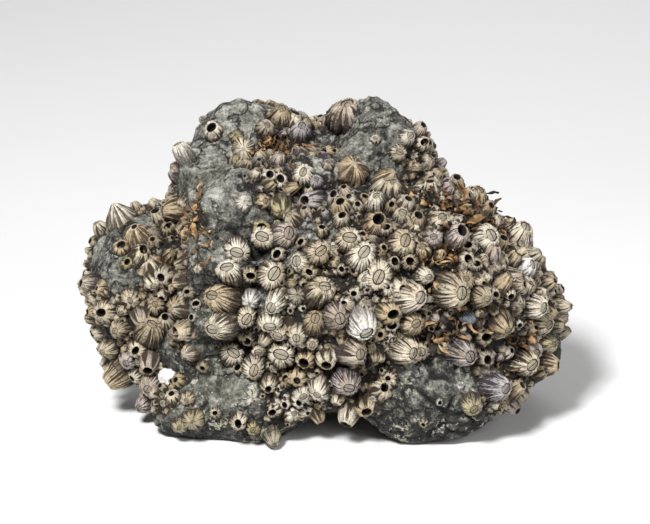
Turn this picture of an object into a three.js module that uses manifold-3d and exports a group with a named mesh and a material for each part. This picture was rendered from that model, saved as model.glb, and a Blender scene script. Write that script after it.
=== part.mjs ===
// A beach stone grown over with acorn barnacles and limpets, with dried weed caught between them.
// Millimetres, +Z up. The front faces -Y. The origin is at the middle of the whole piece's underside.
import * as THREE from "three";
import { mergeVertices } from "three/addons/utils/BufferGeometryUtils.js";
import Module from "manifold-3d";

const wasm = await Module();
wasm.setup();

// ---- Driving dimensions ----
const GAP = 0.35; // kept between pieces that touch
const STONE_DETAIL = 7; // subdivisions of the stone's 20 starting faces
const STONE_STRETCH = new THREE.Vector3(1.3, 0.95, 0.95); // evens out the faces over the long stone
const STONE_HEART = new THREE.Vector3(4, 4, 60); // every ray from here leaves the stone once
const STONE_REACH = 190; // no part of the stone is further from its heart
const LOBE_BLEND = 9; // how softly the lobes run into each other
const LUMP_DEPTH = 2.6; // weathering of the surface
const LUMP_SIZE = 26;
const BED_DEPTH = 6; // height of the small barnacles of a bed
const SHELL_SIDES = 7;
const ROOM_SIDES = 6; // of the room that a bed leaves around a piece that stands in it
const ROOT_DEPTH = 5; // how far a shell's raw solid starts inside the stone, before the stone is cut away

// Places on the front are laid out as they are seen from this far away and this far above the horizon:
// millimetres across from the middle, and millimetres up from the lowest edge.
const FRONT_TIP = THREE.MathUtils.degToRad(20);
const FRONT_DISTANCE = 1750;
const FRONT_MIDDLE = new THREE.Vector3(0, 0, 65);
const FRONT_MIDDLE_UP = 81.6;
const FRONT_RIGHT = new THREE.Vector3(1, 0, 0);
const FRONT_UP = new THREE.Vector3(0, Math.sin(FRONT_TIP), Math.cos(FRONT_TIP));
const FRONT_BACK = new THREE.Vector3(0, -Math.cos(FRONT_TIP), Math.sin(FRONT_TIP));
const EDGE_MISS = 14; // a place this far past the stone's edge still counts as on the edge

// ---- The stone: lobes run together, flattened by a few worn faces ----
const LOBES = [
  { name: "heart", at: [2, 10, 62], half: [80, 56, 56] },
  { name: "right knob", at: [27, 24, 115], half: [23.5, 23, 33] },
  { name: "left knob", at: [-41, 34, 112], half: [25, 23, 31.5] },
  { name: "saddle between the knobs", at: [-5, 36, 106], half: [30, 20, 26] },
  { name: "crest", at: [-6, 0, 112], half: [36, 12, 17] },
  { name: "brow", at: [-40, -14, 104], half: [17, 19, 24] },
  { name: "front ridge", at: [-53, -30, 70], half: [14, 20, 44] },
  { name: "left shoulder", at: [-84, 8, 58], half: [32, 36, 38] },
  { name: "left brow", at: [-62, 18, 94], half: [12, 26, 34] },
  { name: "front swell", at: [14, -14, 64], half: [60, 44, 48] },
  { name: "front lip", at: [6, -34, 27], half: [34, 20, 17] },
  { name: "right swell", at: [52, -12, 68], half: [52, 44, 46] },
  { name: "right flank", at: [80, 4, 44], half: [34, 42, 34] },
  { name: "right heel", at: [92, -4, 27], half: [25, 34, 15] },
  { name: "back swell", at: [10, 44, 54], half: [74, 36, 50] },
  { name: "left foot", at: [-70, -26, 20], half: [36, 31, 27] },
  { name: "left toe", at: [-36, -34, 14], half: [26, 24, 20] },
  { name: "right foot", at: [56, -36, 18], half: [36, 30, 24] },
  { name: "back foot", at: [4, 46, 16], half: [44, 30, 22] },
];

// Lobes that stand out past the worn faces
const LATE_LOBES = [
  { name: "left heel", at: [-63, -37, 10], half: [19, 16, 17] },
];

// Worn faces: the stone is cut flat past a point, square to a direction
const WORN_FACES = [
  { name: "front left face", past: [-52, -50, 34], facing: [-0.5, -0.8, -0.12] },
  { name: "front right face", past: [52, -62, 34], facing: [0.1, -0.98, -0.16] },
  { name: "right slope", past: [83, 0, 89], facing: [0.72, -0.1, 0.68] },
  { name: "left end", past: [-114, 4, 78], facing: [-0.98, -0.1, -0.14] },
  { name: "left underside", past: [-101, -8, 26], facing: [-0.7, -0.2, -0.68] },
  { name: "right underside", past: [100, -14, 16], facing: [0.6, -0.25, -0.76] },
  { name: "back face", past: [0, 76, 60], facing: [0.12, 0.98, 0.14] },
  { name: "back left face", past: [-70, 52, 66], facing: [-0.62, 0.76, 0.2] },
  { name: "back right face", past: [66, 52, 88], facing: [0.5, 0.66, 0.56] },
];
const WORN_BLEND = 3;

function latticeValue(i, j, k) {
  let h = Math.imul(i, 374761393) ^ Math.imul(j, 668265263) ^ Math.imul(k, 1274126177);
  h = Math.imul(h ^ (h >>> 13), 1103515245);
  return (((h ^ (h >>> 16)) >>> 0) / 4294967295) * 2 - 1;
}

// Smooth noise from -1 to 1 that repeats nowhere on the stone
function noise(p, size) {
  const q = p.clone().divideScalar(size);
  const cell = q.clone().floor();
  const f = q.sub(cell);
  const ease = (t) => t * t * (3 - 2 * t);
  let sum = 0;
  for (let corner = 0; corner < 8; corner++) {
    const step = [corner & 1, (corner >> 1) & 1, corner >> 2];
    const shares = [f.x, f.y, f.z].map((t, k) => (step[k] ? ease(t) : 1 - ease(t)));
    const value = latticeValue(cell.x + step[0], cell.y + step[1], cell.z + step[2]);
    sum += shares[0] * shares[1] * shares[2] * value;
  }
  return sum;
}

function smoothMin(a, b, width) {
  const h = Math.max(width - Math.abs(a - b), 0) / width;
  return Math.min(a, b) - (h * h * width) / 4;
}

const smoothMax = (a, b, width) => -smoothMin(-a, -b, width);

function lobeDistance(lobe, p) {
  const q = p.clone().sub(new THREE.Vector3(...lobe.at));
  const half = new THREE.Vector3(...lobe.half);
  const near = q.clone().divide(half).length();
  const slope = q.clone().divide(half).divide(half).length();
  return slope > 1e-9 ? (near * (near - 1)) / slope : -Math.min(...lobe.half);
}

// Below 0 inside the stone, and about the distance to it outside
function stoneDistance(p) {
  let d = Infinity;
  for (const lobe of LOBES) d = smoothMin(d, lobeDistance(lobe, p), LOBE_BLEND);
  d += LUMP_DEPTH * (noise(p, LUMP_SIZE) + 0.5 * noise(p, LUMP_SIZE / 2.3));
  for (const face of WORN_FACES) {
    const facing = new THREE.Vector3(...face.facing).normalize();
    const over = p.clone().sub(new THREE.Vector3(...face.past)).dot(facing);
    d = smoothMax(d, over, WORN_BLEND);
  }
  for (const lobe of LATE_LOBES) d = smoothMin(d, lobeDistance(lobe, p), WORN_BLEND);
  return Math.max(d, -p.z);
}

// Where a ray out of the heart leaves the stone, or a skin of the given depth over it
function stoneRadius(direction, skin = 0) {
  const at = (r) => stoneDistance(STONE_HEART.clone().addScaledVector(direction, r)) - skin;
  let outside = STONE_REACH;
  while (at(outside - 2) > 0) outside -= 2;
  let inside = outside - 2;
  for (let step = 0; step < 26; step++) {
    const middle = (inside + outside) / 2;
    if (at(middle) > 0) outside = middle;
    else inside = middle;
  }
  return (inside + outside) / 2;
}

// Which way the stone faces around a point, evened out over a few millimetres
function stoneNormal(p, reach = 5) {
  const offAt = (axis, step) => stoneDistance(p.clone().addScaledVector(axis, step));
  const slope = (axis) => offAt(axis, reach) - offAt(axis, -reach);
  return new THREE.Vector3(
    slope(new THREE.Vector3(1, 0, 0)),
    slope(new THREE.Vector3(0, 1, 0)),
    slope(new THREE.Vector3(0, 0, 1)),
  ).normalize();
}

// Directions and triangles that the stone and every bed on it share
function ballOfDirections() {
  const ball = new THREE.IcosahedronGeometry(1, STONE_DETAIL);
  ball.deleteAttribute("normal");
  ball.deleteAttribute("uv");
  const merged = mergeVertices(ball, 1e-4);
  const at = merged.getAttribute("position");
  const directions = [];
  for (let i = 0; i < at.count; i++)
    directions.push(new THREE.Vector3().fromBufferAttribute(at, i).multiply(STONE_STRETCH).normalize());
  const faces = [];
  for (let i = 0; i < merged.index.count; i += 3)
    faces.push([merged.index.getX(i), merged.index.getX(i + 1), merged.index.getX(i + 2)]);
  return { directions, faces };
}

const BALL = ballOfDirections();
const onSkin = (direction, skin, most = Infinity) =>
  STONE_HEART.clone().addScaledVector(direction, Math.min(stoneRadius(direction, skin), most));
const STONE_POINTS = BALL.directions.map((direction) => onSkin(direction, 0));

// ---- Solids and meshes ----
function geometryOf(points, faces) {
  const geometry = new THREE.BufferGeometry();
  const numbers = new Float32Array(points.flatMap((p) => [p.x, p.y, p.z]));
  geometry.setAttribute("position", new THREE.BufferAttribute(numbers, 3));
  geometry.setIndex(faces.flat());
  return geometry;
}

function solidOf(geometry) {
  const bare = geometry.clone();
  bare.deleteAttribute("normal");
  bare.deleteAttribute("uv");
  const merged = mergeVertices(bare, 1e-3);
  return new wasm.Manifold(
    new wasm.Mesh({
      numProp: 3,
      vertProperties: new Float32Array(merged.getAttribute("position").array),
      triVerts: new Uint32Array(merged.index.array),
    }),
  );
}

// The largest body of a solid: crumbs that a cut leaves behind are dropped
function largestBody(solid) {
  return solid.decompose().reduce((a, b) => (a.volume() >= b.volume() ? a : b));
}

function geometryFrom(solid) {
  const mesh = solid.getMesh();
  const points = [];
  for (let i = 0; i < mesh.vertProperties.length; i += mesh.numProp)
    points.push(new THREE.Vector3(...mesh.vertProperties.slice(i, i + 3)));
  const faces = [];
  for (let i = 0; i < mesh.triVerts.length; i += 3) faces.push([...mesh.triVerts.slice(i, i + 3)]);
  return geometryOf(points, faces);
}

const skinSolid = (skin) =>
  solidOf(geometryOf(BALL.directions.map((direction) => onSkin(direction, skin)), BALL.faces));
const STONE_SOLID = skinSolid(0);
const STONE_CUTTER = skinSolid(GAP);

// ---- Places on the stone ----
// The point of the stone seen at a place on the front. A place just past the stone's edge falls on the edge.
function seenAt(across, up) {
  const eye = FRONT_MIDDLE.clone().addScaledVector(FRONT_BACK, FRONT_DISTANCE);
  const aim = FRONT_MIDDLE.clone()
    .addScaledVector(FRONT_RIGHT, across)
    .addScaledVector(FRONT_UP, up - FRONT_MIDDLE_UP);
  const look = aim.sub(eye).normalize();
  let closest = { point: null, off: EDGE_MISS };
  for (let t = FRONT_DISTANCE - STONE_REACH; t < FRONT_DISTANCE + STONE_REACH; ) {
    const point = eye.clone().addScaledVector(look, t);
    const off = stoneDistance(point);
    if (off < closest.off) closest = { point, off };
    if (off < 0.5) break;
    t += Math.max(0.4, off * 0.5);
  }
  if (!closest.point) throw new Error(`nothing of the stone is seen at ${across}, ${up}`);
  return closest.point.addScaledVector(stoneNormal(closest.point, 1), -closest.off);
}

// ---- Shells that stand out: barnacles and limpets ----
// at: [across, up], wide and tall in mm, mouth as a share of the width. A shell points the way the stone
// faces, with a lean in degrees to the right and up, or at the viewer, turned in degrees to the right and up.
// An open mouth is an empty shell's hole, and a limpet's is its small worn tip.
const BARNACLES = [
  { at: [-42, 95], wide: 13, tall: 8, mouth: 0.42, turned: [4, -6] },
  { at: [-30, 97], wide: 12.5, tall: 9, mouth: 0.44, turned: [2, 32] },
  { at: [-20, 102], wide: 13.5, tall: 9, mouth: 0.42, turned: [21, 11] },
  { at: [-14, 89], wide: 10.5, tall: 9, mouth: 0.46, turned: [5, 7] },
  { at: [-3, 94], wide: 13.5, tall: 8.5, mouth: 0.38, turned: [11, 7] },
  { at: [-45, 84.5], wide: 12, tall: 8.5, mouth: 0.42, turned: [-9, 19] },
  { at: [-25, 83], wide: 14.5, tall: 9, mouth: 0.42, turned: [7, 7] },
  { at: [-47, 72], wide: 15, tall: 8.5, mouth: 0.34, turned: [-50, 10] },
  { at: [-24.5, 69.5], wide: 12, tall: 9, mouth: 0.42, turned: [-6, -12] },
  { at: [-2, 75], wide: 14, tall: 9.5, mouth: 0.36, turned: [17, 18] },
  { at: [-48, 59], wide: 14, tall: 9, mouth: 0.38, turned: [-38, -12] },
  { at: [-37, 62], wide: 12, tall: 9, mouth: 0.42, turned: [0, 0] },
  { at: [-28, 59.5], wide: 12, tall: 10, mouth: 0.4, turned: [11, -7] },
  { at: [-6.5, 65], wide: 11.5, tall: 9.5, mouth: 0.4, turned: [15, -14] },
  { at: [5.5, 64], wide: 14, tall: 10, mouth: 0.38, turned: [14, -9] },
  { at: [-43, 47], wide: 12.5, tall: 9, mouth: 0.42, turned: [0, -8] },
  { at: [-20, 45.5], wide: 13.5, tall: 8.5, mouth: 0.44, turned: [-4, -4] },
  { at: [-33.5, 40], wide: 12, tall: 10, mouth: 0.42, turned: [0, -14] },
  { at: [11, 101], wide: 13.5, tall: 10, mouth: 0.42, turned: [9, 3] },
  { at: [18, 91.5], wide: 14.5, tall: 9.5, mouth: 0.4, turned: [10, 19] },
  { at: [17, 60], wide: 15.5, tall: 9.5, mouth: 0.38, turned: [26, -29] },
  { at: [13.5, 47], wide: 14, tall: 9, mouth: 0.36, turned: [29, -13] },
  { at: [23, 107], wide: 12.5, tall: 10, mouth: 0.44, open: true, turned: [21, 20] },
  { at: [37, 98], wide: 13.5, tall: 9.5, mouth: 0.42, turned: [15, 13] },
  { at: [27, 84.5], wide: 15.5, tall: 9, mouth: 0.4, turned: [-3, -13] },
  { at: [41, 72], wide: 16, tall: 11, mouth: 0.36, turned: [31, 3] },
  { at: [61, 75.5], wide: 16.5, tall: 11.5, mouth: 0.36, turned: [28, -4] },
  { at: [77, 100], wide: 14.5, tall: 11.5, mouth: 0.38, turned: [21, 14] },
  { at: [64, 101], wide: 11.5, tall: 10.5, mouth: 0.44, open: true, turned: [16, 22] },
  { at: [102, 69.5], wide: 12.5, tall: 10, mouth: 0.4, turned: [27, -12] },
  { at: [37, 48], wide: 14.5, tall: 10, mouth: 0.36, turned: [40, -15] },
  { at: [65, 47.5], wide: 15.5, tall: 10.5, mouth: 0.38, turned: [35, -20] },
  { at: [96, 41], wide: 14.5, tall: 10, mouth: 0.38, turned: [27, -6] },
  { at: [83, 33], wide: 14, tall: 10, mouth: 0.34, turned: [34, -24] },
  { at: [10.5, 32], wide: 14.5, tall: 10, mouth: 0.32, turned: [11, -18] },
  { at: [-98, 36], wide: 15.5, tall: 10, mouth: 0.34, lean: [-12, -8] },
  { at: [-84, 55], wide: 14, tall: 9.5, mouth: 0.3, turned: [10, 30] },
  { at: [-67, 143], wide: 12.5, tall: 8, mouth: 0.38, lean: [0, 0] },
  { at: [8, 160], wide: 16, tall: 12, mouth: 0.34, turned: [10, 60] },
  { at: [98, 103], wide: 16, tall: 11, mouth: 0.36, turned: [35, 45] },
];

const LIMPETS = [
  { name: "limpet_on_left_shoulder", at: [-98, 111], wide: 17, tall: 8.5 },
  { name: "keyhole_limpet", at: [-91, 103], wide: 16, tall: 5, mouth: 0.24 },
  { name: "limpet_under_crest_left", at: [14, 134], wide: 16, tall: 7 },
  { name: "limpet_under_crest_right", at: [30, 129], wide: 16, tall: 8 },
  { name: "pink_limpet", at: [-64.5, 46], wide: 10.5, tall: 5 },
  { name: "tan_limpet", at: [-39, 144], wide: 13, tall: 5 },
];

// Where a shell's outside bends: its radius and height there, as shares of its width and height
const BARNACLE_BEND = [0.43, 0.6];
const LIMPET_BEND = [0.3, 0.55];
const LIMPET_TIP = 0.14;
const MOUTH_DEPTH = 0.45; // an empty shell's hole, as a share of its height
const MOUTH_FLOOR = 0.7; // the hole's floor, as a share of its mouth

function shellProfile({ wide, tall, mouth, open }, bend, grow) {
  const rim = (mouth * wide) / 2;
  const points = [
    [0, -ROOT_DEPTH],
    [wide / 2 + grow, -ROOT_DEPTH],
    [bend[0] * wide + grow, bend[1] * tall],
    [rim + grow, tall + grow],
  ];
  if (open && !grow) points.push([rim * 0.9, tall - 0.4], [rim * MOUTH_FLOOR, tall * (1 - MOUTH_DEPTH)]);
  const last = points[points.length - 1];
  points.push([0, last[1]]);
  return points.map(([radius, height]) => new THREE.Vector2(radius, height));
}

// The way to the viewer, turned to the right and up
function towardsViewer(right, up) {
  const [r, u] = [right, up].map(THREE.MathUtils.degToRad);
  return FRONT_BACK.clone()
    .multiplyScalar(Math.cos(r) * Math.cos(u))
    .addScaledVector(FRONT_RIGHT, Math.sin(r) * Math.cos(u))
    .addScaledVector(FRONT_UP, Math.sin(u));
}

// Where a shell stands and which way it points
function standing({ at, turned, lean = [0, 0] }) {
  const foot = seenAt(...at);
  const axis = turned ? towardsViewer(...turned) : stoneNormal(foot);
  axis.applyAxisAngle(new THREE.Vector3(0, 0, 1), THREE.MathUtils.degToRad(lean[0]));
  axis.applyAxisAngle(new THREE.Vector3(-1, 0, 0), THREE.MathUtils.degToRad(lean[1]));
  const stance = new THREE.Quaternion().setFromUnitVectors(new THREE.Vector3(0, 0, 1), axis);
  return new THREE.Matrix4().compose(foot, stance, new THREE.Vector3(1, 1, 1));
}

function standingRoom(piece, wide, deep, tall) {
  const room = new THREE.CylinderGeometry(0.5, 0.5, 3 * tall, ROOM_SIDES);
  room.rotateX(Math.PI / 2);
  const cornerReach = 1 / Math.cos(Math.PI / ROOM_SIDES);
  room.scale((wide + 2 * GAP) * cornerReach, (deep + 2 * GAP) * cornerReach, 1);
  return solidOf(room.applyMatrix4(standing(piece)));
}

function rawShell(shell, bend, grow = 0) {
  const lathe = new THREE.LatheGeometry(shellProfile(shell, bend, grow), SHELL_SIDES);
  lathe.rotateX(Math.PI / 2);
  return solidOf(lathe.applyMatrix4(standing(shell)));
}

// ---- Loose and clinging bits: chips of shell, mussels and dried weed, each a low mound of its outline ----
const BITS = [
  { name: "white_shell_chip", at: [-65, 54], size: [9, 4.5, 2.2], slot: "shell_chip" },
  { name: "bright_shell_chip", at: [-75, 34], size: [7, 10, 2.6], slot: "shell_chip" },
  { name: "blue_mussel", at: [70, 63], size: [10, 6, 5], slot: "mussel" },
  { name: "weed_in_saddle", at: [-21, 142], size: [22, 11, 5], slot: "dried_weed" },
  { name: "weed_on_right", at: [80, 115], size: [19, 11, 6], slot: "dried_weed" },
  { name: "weed_on_left", at: [-60, 113], size: [15, 12, 4], slot: "dried_weed" },
];
const BIT_DETAIL = 0; // subdivisions of a bit's 20 faces

function rawBit({ at, size }, grow = 0) {
  const mound = new THREE.IcosahedronGeometry(1, BIT_DETAIL);
  mound.scale(size[0] / 2 + grow, size[1] / 2 + grow, size[2] + grow);
  return solidOf(mound.applyMatrix4(standing({ at })));
}

// ---- Beds of small barnacles: patches of skin over the stone, split at its bare places ----
const BEDS = [
  { name: "barnacle_bed_front_left", heart: [-24, -55, 66] },
  { name: "barnacle_bed_front_right", heart: [52, -58, 70] },
  { name: "barnacle_bed_right_slope", heart: [88, 6, 88] },
  { name: "barnacle_bed_saddle", heart: [-14, 14, 128] },
  { name: "barnacle_bed_left_end", heart: [-92, -20, 44] },
  { name: "barnacle_bed_back_left", heart: [-52, 70, 74] },
  { name: "barnacle_bed_back_right", heart: [56, 66, 66] },
];

// Bare stone: [centre, radius] in mm
const BARE_PLACES = [
  { name: "left knob top", at: [-41, 32, 144], radius: 28 },
  { name: "left knob front", at: [-48, 8, 118], radius: 18 },
  { name: "right knob", at: [28, 20, 148], radius: 30 },
  { name: "crest", at: [8, -6, 128], radius: 15 },
  { name: "brow", at: [-42, -28, 116], radius: 19 },
  { name: "ridge above", at: [-53, -46, 92], radius: 13 },
  { name: "ridge below", at: [-60, -46, 66], radius: 10 },
  { name: "left end", at: [-110, -6, 84], radius: 20 },
  { name: "left low", at: [-112, -14, 42], radius: 10 },
  { name: "front left face", at: [-58, -52, 32], radius: 20 },
  { name: "front left foot", at: [-40, -58, 12], radius: 22 },
  { name: "right foot", at: [52, -64, 20], radius: 26 },
  { name: "right end", at: [114, -10, 26], radius: 18 },
  { name: "back knee", at: [-6, 78, 40], radius: 22 },
  { name: "back shoulder", at: [60, 60, 100], radius: 15 },
];
const UNDERSIDE = -0.55; // stone that faces further down than this is bare
const BED_LOWEST = 9; // and so is the stone this close to the ground
const BED_EDGE_NUDGE = 0.35; // a bed's edge is drawn in by this much, clear of the next bed's
const BED_STEEPEST = 1.2; // along a ray out of the heart, a bed is at most this many times its depth

function bedOfFace(face) {
  const corners = face.map((i) => STONE_POINTS[i]);
  const middle = corners.reduce((sum, p) => sum.add(p), new THREE.Vector3()).divideScalar(3);
  const facing = new THREE.Triangle(...corners).getNormal(new THREE.Vector3());
  if (facing.z < UNDERSIDE || corners.some((p) => p.z < BED_LOWEST)) return null;
  if (BARE_PLACES.some((bare) => middle.distanceTo(new THREE.Vector3(...bare.at)) < bare.radius)) return null;
  const distance = (bed) => middle.distanceTo(new THREE.Vector3(...bed.heart));
  return BEDS.reduce((a, b) => (distance(a) <= distance(b) ? a : b)).name;
}

// The largest run of faces that hang together by their edges
function largestPatch(faces) {
  const byEdge = new Map();
  const edges = (face) => [0, 1, 2].map((k) => [face[k], face[(k + 1) % 3]].sort((a, b) => a - b).join());
  faces.forEach((face, i) => {
    for (const edge of edges(face)) byEdge.set(edge, [...(byEdge.get(edge) ?? []), i]);
  });
  const seen = new Set();
  let best = [];
  for (let start = 0; start < faces.length; start++) {
    if (seen.has(start)) continue;
    const patch = [start];
    seen.add(start);
    for (const i of patch)
      for (const edge of edges(faces[i]))
        for (const next of byEdge.get(edge)) if (!seen.has(next)) patch.push(next) && seen.add(next);
    if (patch.length > best.length) best = patch;
  }
  return best.map((i) => faces[i]);
}

// Drops faces until no two parts of a patch meet at a lone corner, where a skin's wall would pinch
function unpinched(faces) {
  for (;;) {
    const around = new Map();
    faces.forEach((face) => face.forEach((v) => around.set(v, [...(around.get(v) ?? []), face])));
    const dropped = new Set();
    for (const [v, fan] of around) {
      const others = fan.map((face) => face.filter((w) => w !== v));
      const rim = new Map();
      others.flat().forEach((w) => rim.set(w, (rim.get(w) ?? 0) + 1));
      const ends = [...rim.values()].filter((n) => n === 1).length;
      if (ends > 2) dropped.add(fan[0]);
    }
    if (!dropped.size) return faces;
    faces = largestPatch(faces.filter((face) => !dropped.has(face)));
  }
}

function bedSolid(name) {
  const faces = unpinched(largestPatch(BALL.faces.filter((face) => bedOfFace(face) === name)));
  const corners = [...new Set(faces.flat())];
  const halfEdges = new Set(faces.flatMap(([a, b, c]) => [`${a},${b}`, `${b},${c}`, `${c},${a}`]));
  const ends = [...halfEdges].map((edge) => edge.split(",").map(Number));
  const rim = ends.filter(([a, b]) => !halfEdges.has(`${b},${a}`));
  const onRim = new Set(rim.flat());
  const drawnIn = (v) => {
    if (!onRim.has(v)) return BALL.directions[v];
    const own = faces.filter((face) => face.includes(v)).flat();
    const inward = own.reduce((sum, w) => sum.add(STONE_POINTS[w]), new THREE.Vector3());
    inward.divideScalar(own.length);
    inward.sub(STONE_POINTS[v]).setLength(BED_EDGE_NUDGE).add(STONE_POINTS[v]);
    return inward.sub(STONE_HEART).normalize();
  };
  const index = new Map(corners.map((v, i) => [v, i]));
  const inner = corners.map((v) => onSkin(drawnIn(v), 2 * GAP));
  const outer = corners.map((v, i) =>
    onSkin(drawnIn(v), BED_DEPTH, inner[i].distanceTo(STONE_HEART) + BED_STEEPEST * BED_DEPTH),
  );
  const up = (v) => index.get(v) + corners.length;
  const down = (v) => index.get(v);
  const skin = faces.flatMap(([a, b, c]) => [
    [up(a), up(b), up(c)],
    [down(a), down(c), down(b)],
  ]);
  const walls = rim.flatMap(([a, b]) => [
    [down(a), down(b), up(b)],
    [down(a), up(b), up(a)],
  ]);
  return solidOf(geometryOf([...inner, ...outer], [...skin, ...walls]));
}

// ---- Finishes ----
const finish = (color, roughness) => new THREE.MeshStandardMaterial({ color, roughness, metalness: 0 });
const FINISHES = {
  stone: finish(0x4a4b48, 0.9),
  barnacle_shell: finish(0xc9bda6, 0.8),
  limpet_shell: finish(0xa6987a, 0.75),
  shell_chip: finish(0xdedbd2, 0.6),
  mussel: finish(0x39404f, 0.4),
  dried_weed: finish(0x7a5526, 0.85),
};

// ---- The whole piece ----
const cluster = new THREE.Group();

function add(name, slot, solid) {
  const mesh = new THREE.Mesh(geometryFrom(solid), FINISHES[slot]);
  mesh.name = name;
  cluster.add(mesh);
}

add("stone", "stone", STONE_SOLID);

const STANDING = []; // each standing piece a little larger than it is, and the room that a bed leaves for it

function overlapping(a, b) {
  const [boxA, boxB] = [a.boundingBox(), b.boundingBox()];
  return [0, 1, 2].every((k) => boxA.min[k] <= boxB.max[k] && boxB.min[k] <= boxA.max[k]);
}

function clearOf(solid, others) {
  const met = others.filter((other) => overlapping(solid, other));
  return met.reduce((rest, other) => rest.subtract(other), solid);
}

function addStanding(name, slot, raw, grown, room) {
  const clear = clearOf(raw.subtract(STONE_CUTTER), STANDING.map((piece) => piece.grown));
  add(name, slot, largestBody(clear));
  STANDING.push({ grown, room });
}

function addShell(name, slot, shell, bend) {
  const room = standingRoom(shell, shell.wide, shell.wide, shell.tall);
  addStanding(name, slot, rawShell(shell, bend), rawShell(shell, bend, GAP), room);
}

BARNACLES.forEach((shell, i) =>
  addShell(`barnacle_${String(i + 1).padStart(2, "0")}`, "barnacle_shell", shell, BARNACLE_BEND),
);
for (const limpet of LIMPETS)
  addShell(limpet.name, "limpet_shell", { mouth: LIMPET_TIP, ...limpet }, LIMPET_BEND);
for (const bit of BITS) {
  const room = standingRoom(bit, bit.size[0], bit.size[1], BED_DEPTH);
  addStanding(bit.name, bit.slot, rawBit(bit), rawBit(bit, GAP), room);
}
for (const { name } of BEDS) {
  const rooms = STANDING.map((piece) => piece.room);
  add(name, "barnacle_shell", largestBody(clearOf(bedSolid(name), rooms)));
}

const box = new THREE.Box3().setFromObject(cluster);
const middle = box.getCenter(new THREE.Vector3());
cluster.position.set(-middle.x, -middle.y, -box.min.z);

export default cluster;
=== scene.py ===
"""A beach stone grown over with acorn barnacles, limpets and dried weed, on a pale floor."""

import math
import random

import bpy
import numpy as np
from mathutils import Matrix, Vector
from mathutils.bvhtree import BVHTree


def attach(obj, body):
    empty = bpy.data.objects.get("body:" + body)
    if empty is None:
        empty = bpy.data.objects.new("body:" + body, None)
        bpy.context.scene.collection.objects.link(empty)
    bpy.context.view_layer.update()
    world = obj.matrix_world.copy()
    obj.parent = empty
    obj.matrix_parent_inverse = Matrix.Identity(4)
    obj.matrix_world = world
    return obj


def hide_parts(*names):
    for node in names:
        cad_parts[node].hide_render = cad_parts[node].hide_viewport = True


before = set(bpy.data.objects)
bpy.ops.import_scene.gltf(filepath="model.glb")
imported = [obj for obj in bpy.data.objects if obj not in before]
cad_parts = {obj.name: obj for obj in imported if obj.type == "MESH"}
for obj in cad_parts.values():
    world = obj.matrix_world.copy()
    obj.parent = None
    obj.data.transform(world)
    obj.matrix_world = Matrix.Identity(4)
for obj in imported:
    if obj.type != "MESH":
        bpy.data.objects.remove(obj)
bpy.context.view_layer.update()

MM = 0.001
SEED = 11

# ---- Where things are seen from: places on the front are laid out as millimetres across and up ----
FRONT_TIP = math.radians(20)
FRONT_DISTANCE = 1750 * MM
FRONT_MIDDLE = Vector((-0.8, -7.5, 65)) * MM
FRONT_MIDDLE_UP = 81.6 * MM
FRONT_RIGHT = Vector((1, 0, 0))
FRONT_UP = Vector((0, math.sin(FRONT_TIP), math.cos(FRONT_TIP)))
FRONT_BACK = Vector((0, -math.cos(FRONT_TIP), math.sin(FRONT_TIP)))
STONE_HEART = Vector((0, 0, 60)) * MM


# ---- Node trees written as arithmetic ----
class Field:
    """A value that a node tree works out, so that formulas can be written with + - * and /."""

    def __init__(self, tree, socket):
        self.tree = tree
        self.socket = socket

    def __add__(self, other):
        return self.tree.math("ADD", self, other)

    def __sub__(self, other):
        return self.tree.math("SUBTRACT", self, other)

    def __mul__(self, other):
        return self.tree.math("MULTIPLY", self, other)

    def __truediv__(self, other):
        return self.tree.math("DIVIDE", self, other)

    def __rsub__(self, other):
        return self.tree.math("SUBTRACT", other, self)

    def __rtruediv__(self, other):
        return self.tree.math("DIVIDE", other, self)

    def __pow__(self, other):
        return self.tree.math("POWER", self, other)

    def __lt__(self, other):
        return self.tree.math("LESS_THAN", self, other)

    __radd__ = __add__
    __rmul__ = __mul__


class Tree:
    """A node tree being built. Values given to its nodes are fields, numbers, colours or datablocks."""

    def __init__(self, group):
        self.group = group

    def node(self, kind, values=None, out=0, **settings):
        node = self.group.nodes.new(kind)
        for name, setting in settings.items():
            setattr(node, name, setting)
        for name, value in (values or {}).items():
            if isinstance(value, Field):
                self.group.links.new(value.socket, node.inputs[name])
            else:
                node.inputs[name].default_value = value
        return Field(self, node.outputs[out])

    def sibling(self, field, out):
        """Another output of the node that a field comes from."""
        return Field(self, field.socket.node.outputs[out])

    def math(self, operation, *values):
        return self.node("ShaderNodeMath", dict(enumerate(values)), operation=operation)

    def split(self, vector):
        x = self.node("ShaderNodeSeparateXYZ", {0: vector})
        return x, self.sibling(x, 1), self.sibling(x, 2)

    def vector(self, x, y, z):
        return self.node("ShaderNodeCombineXYZ", {0: x, 1: y, 2: z})

    def scaled(self, vector, factors):
        return self.node("ShaderNodeVectorMath", {0: vector, 1: factors}, operation="MULTIPLY")

    def noise(self, vector, scale=1.0, detail=1.0, rough=0.5):
        """Smooth noise of about -1 to 1."""
        values = {"Vector": vector, "Scale": scale, "Detail": detail, "Roughness": rough}
        return self.node("ShaderNodeTexNoise", values) * 2 - 1

    def clamped(self, value, low=0.0, high=1.0):
        return self.node("ShaderNodeClamp", {"Value": value, "Min": low, "Max": high})

    def step(self, value, start, end):
        """Rises smoothly from 0 at start to 1 at end."""
        values = {"Value": value, "From Min": start, "From Max": end}
        return self.node("ShaderNodeMapRange", values, interpolation_type="SMOOTHSTEP")

    def blend(self, share, a, b):
        return a + (b - a) * share

    def stairs(self, value, heights):
        """Straight lines through heights, at value 0, 1, 2 and so on."""
        total = heights[0]
        for number, (low, high) in enumerate(zip(heights, heights[1:])):
            total = self.clamped(value - number) * (high - low) + total
        return total


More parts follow.
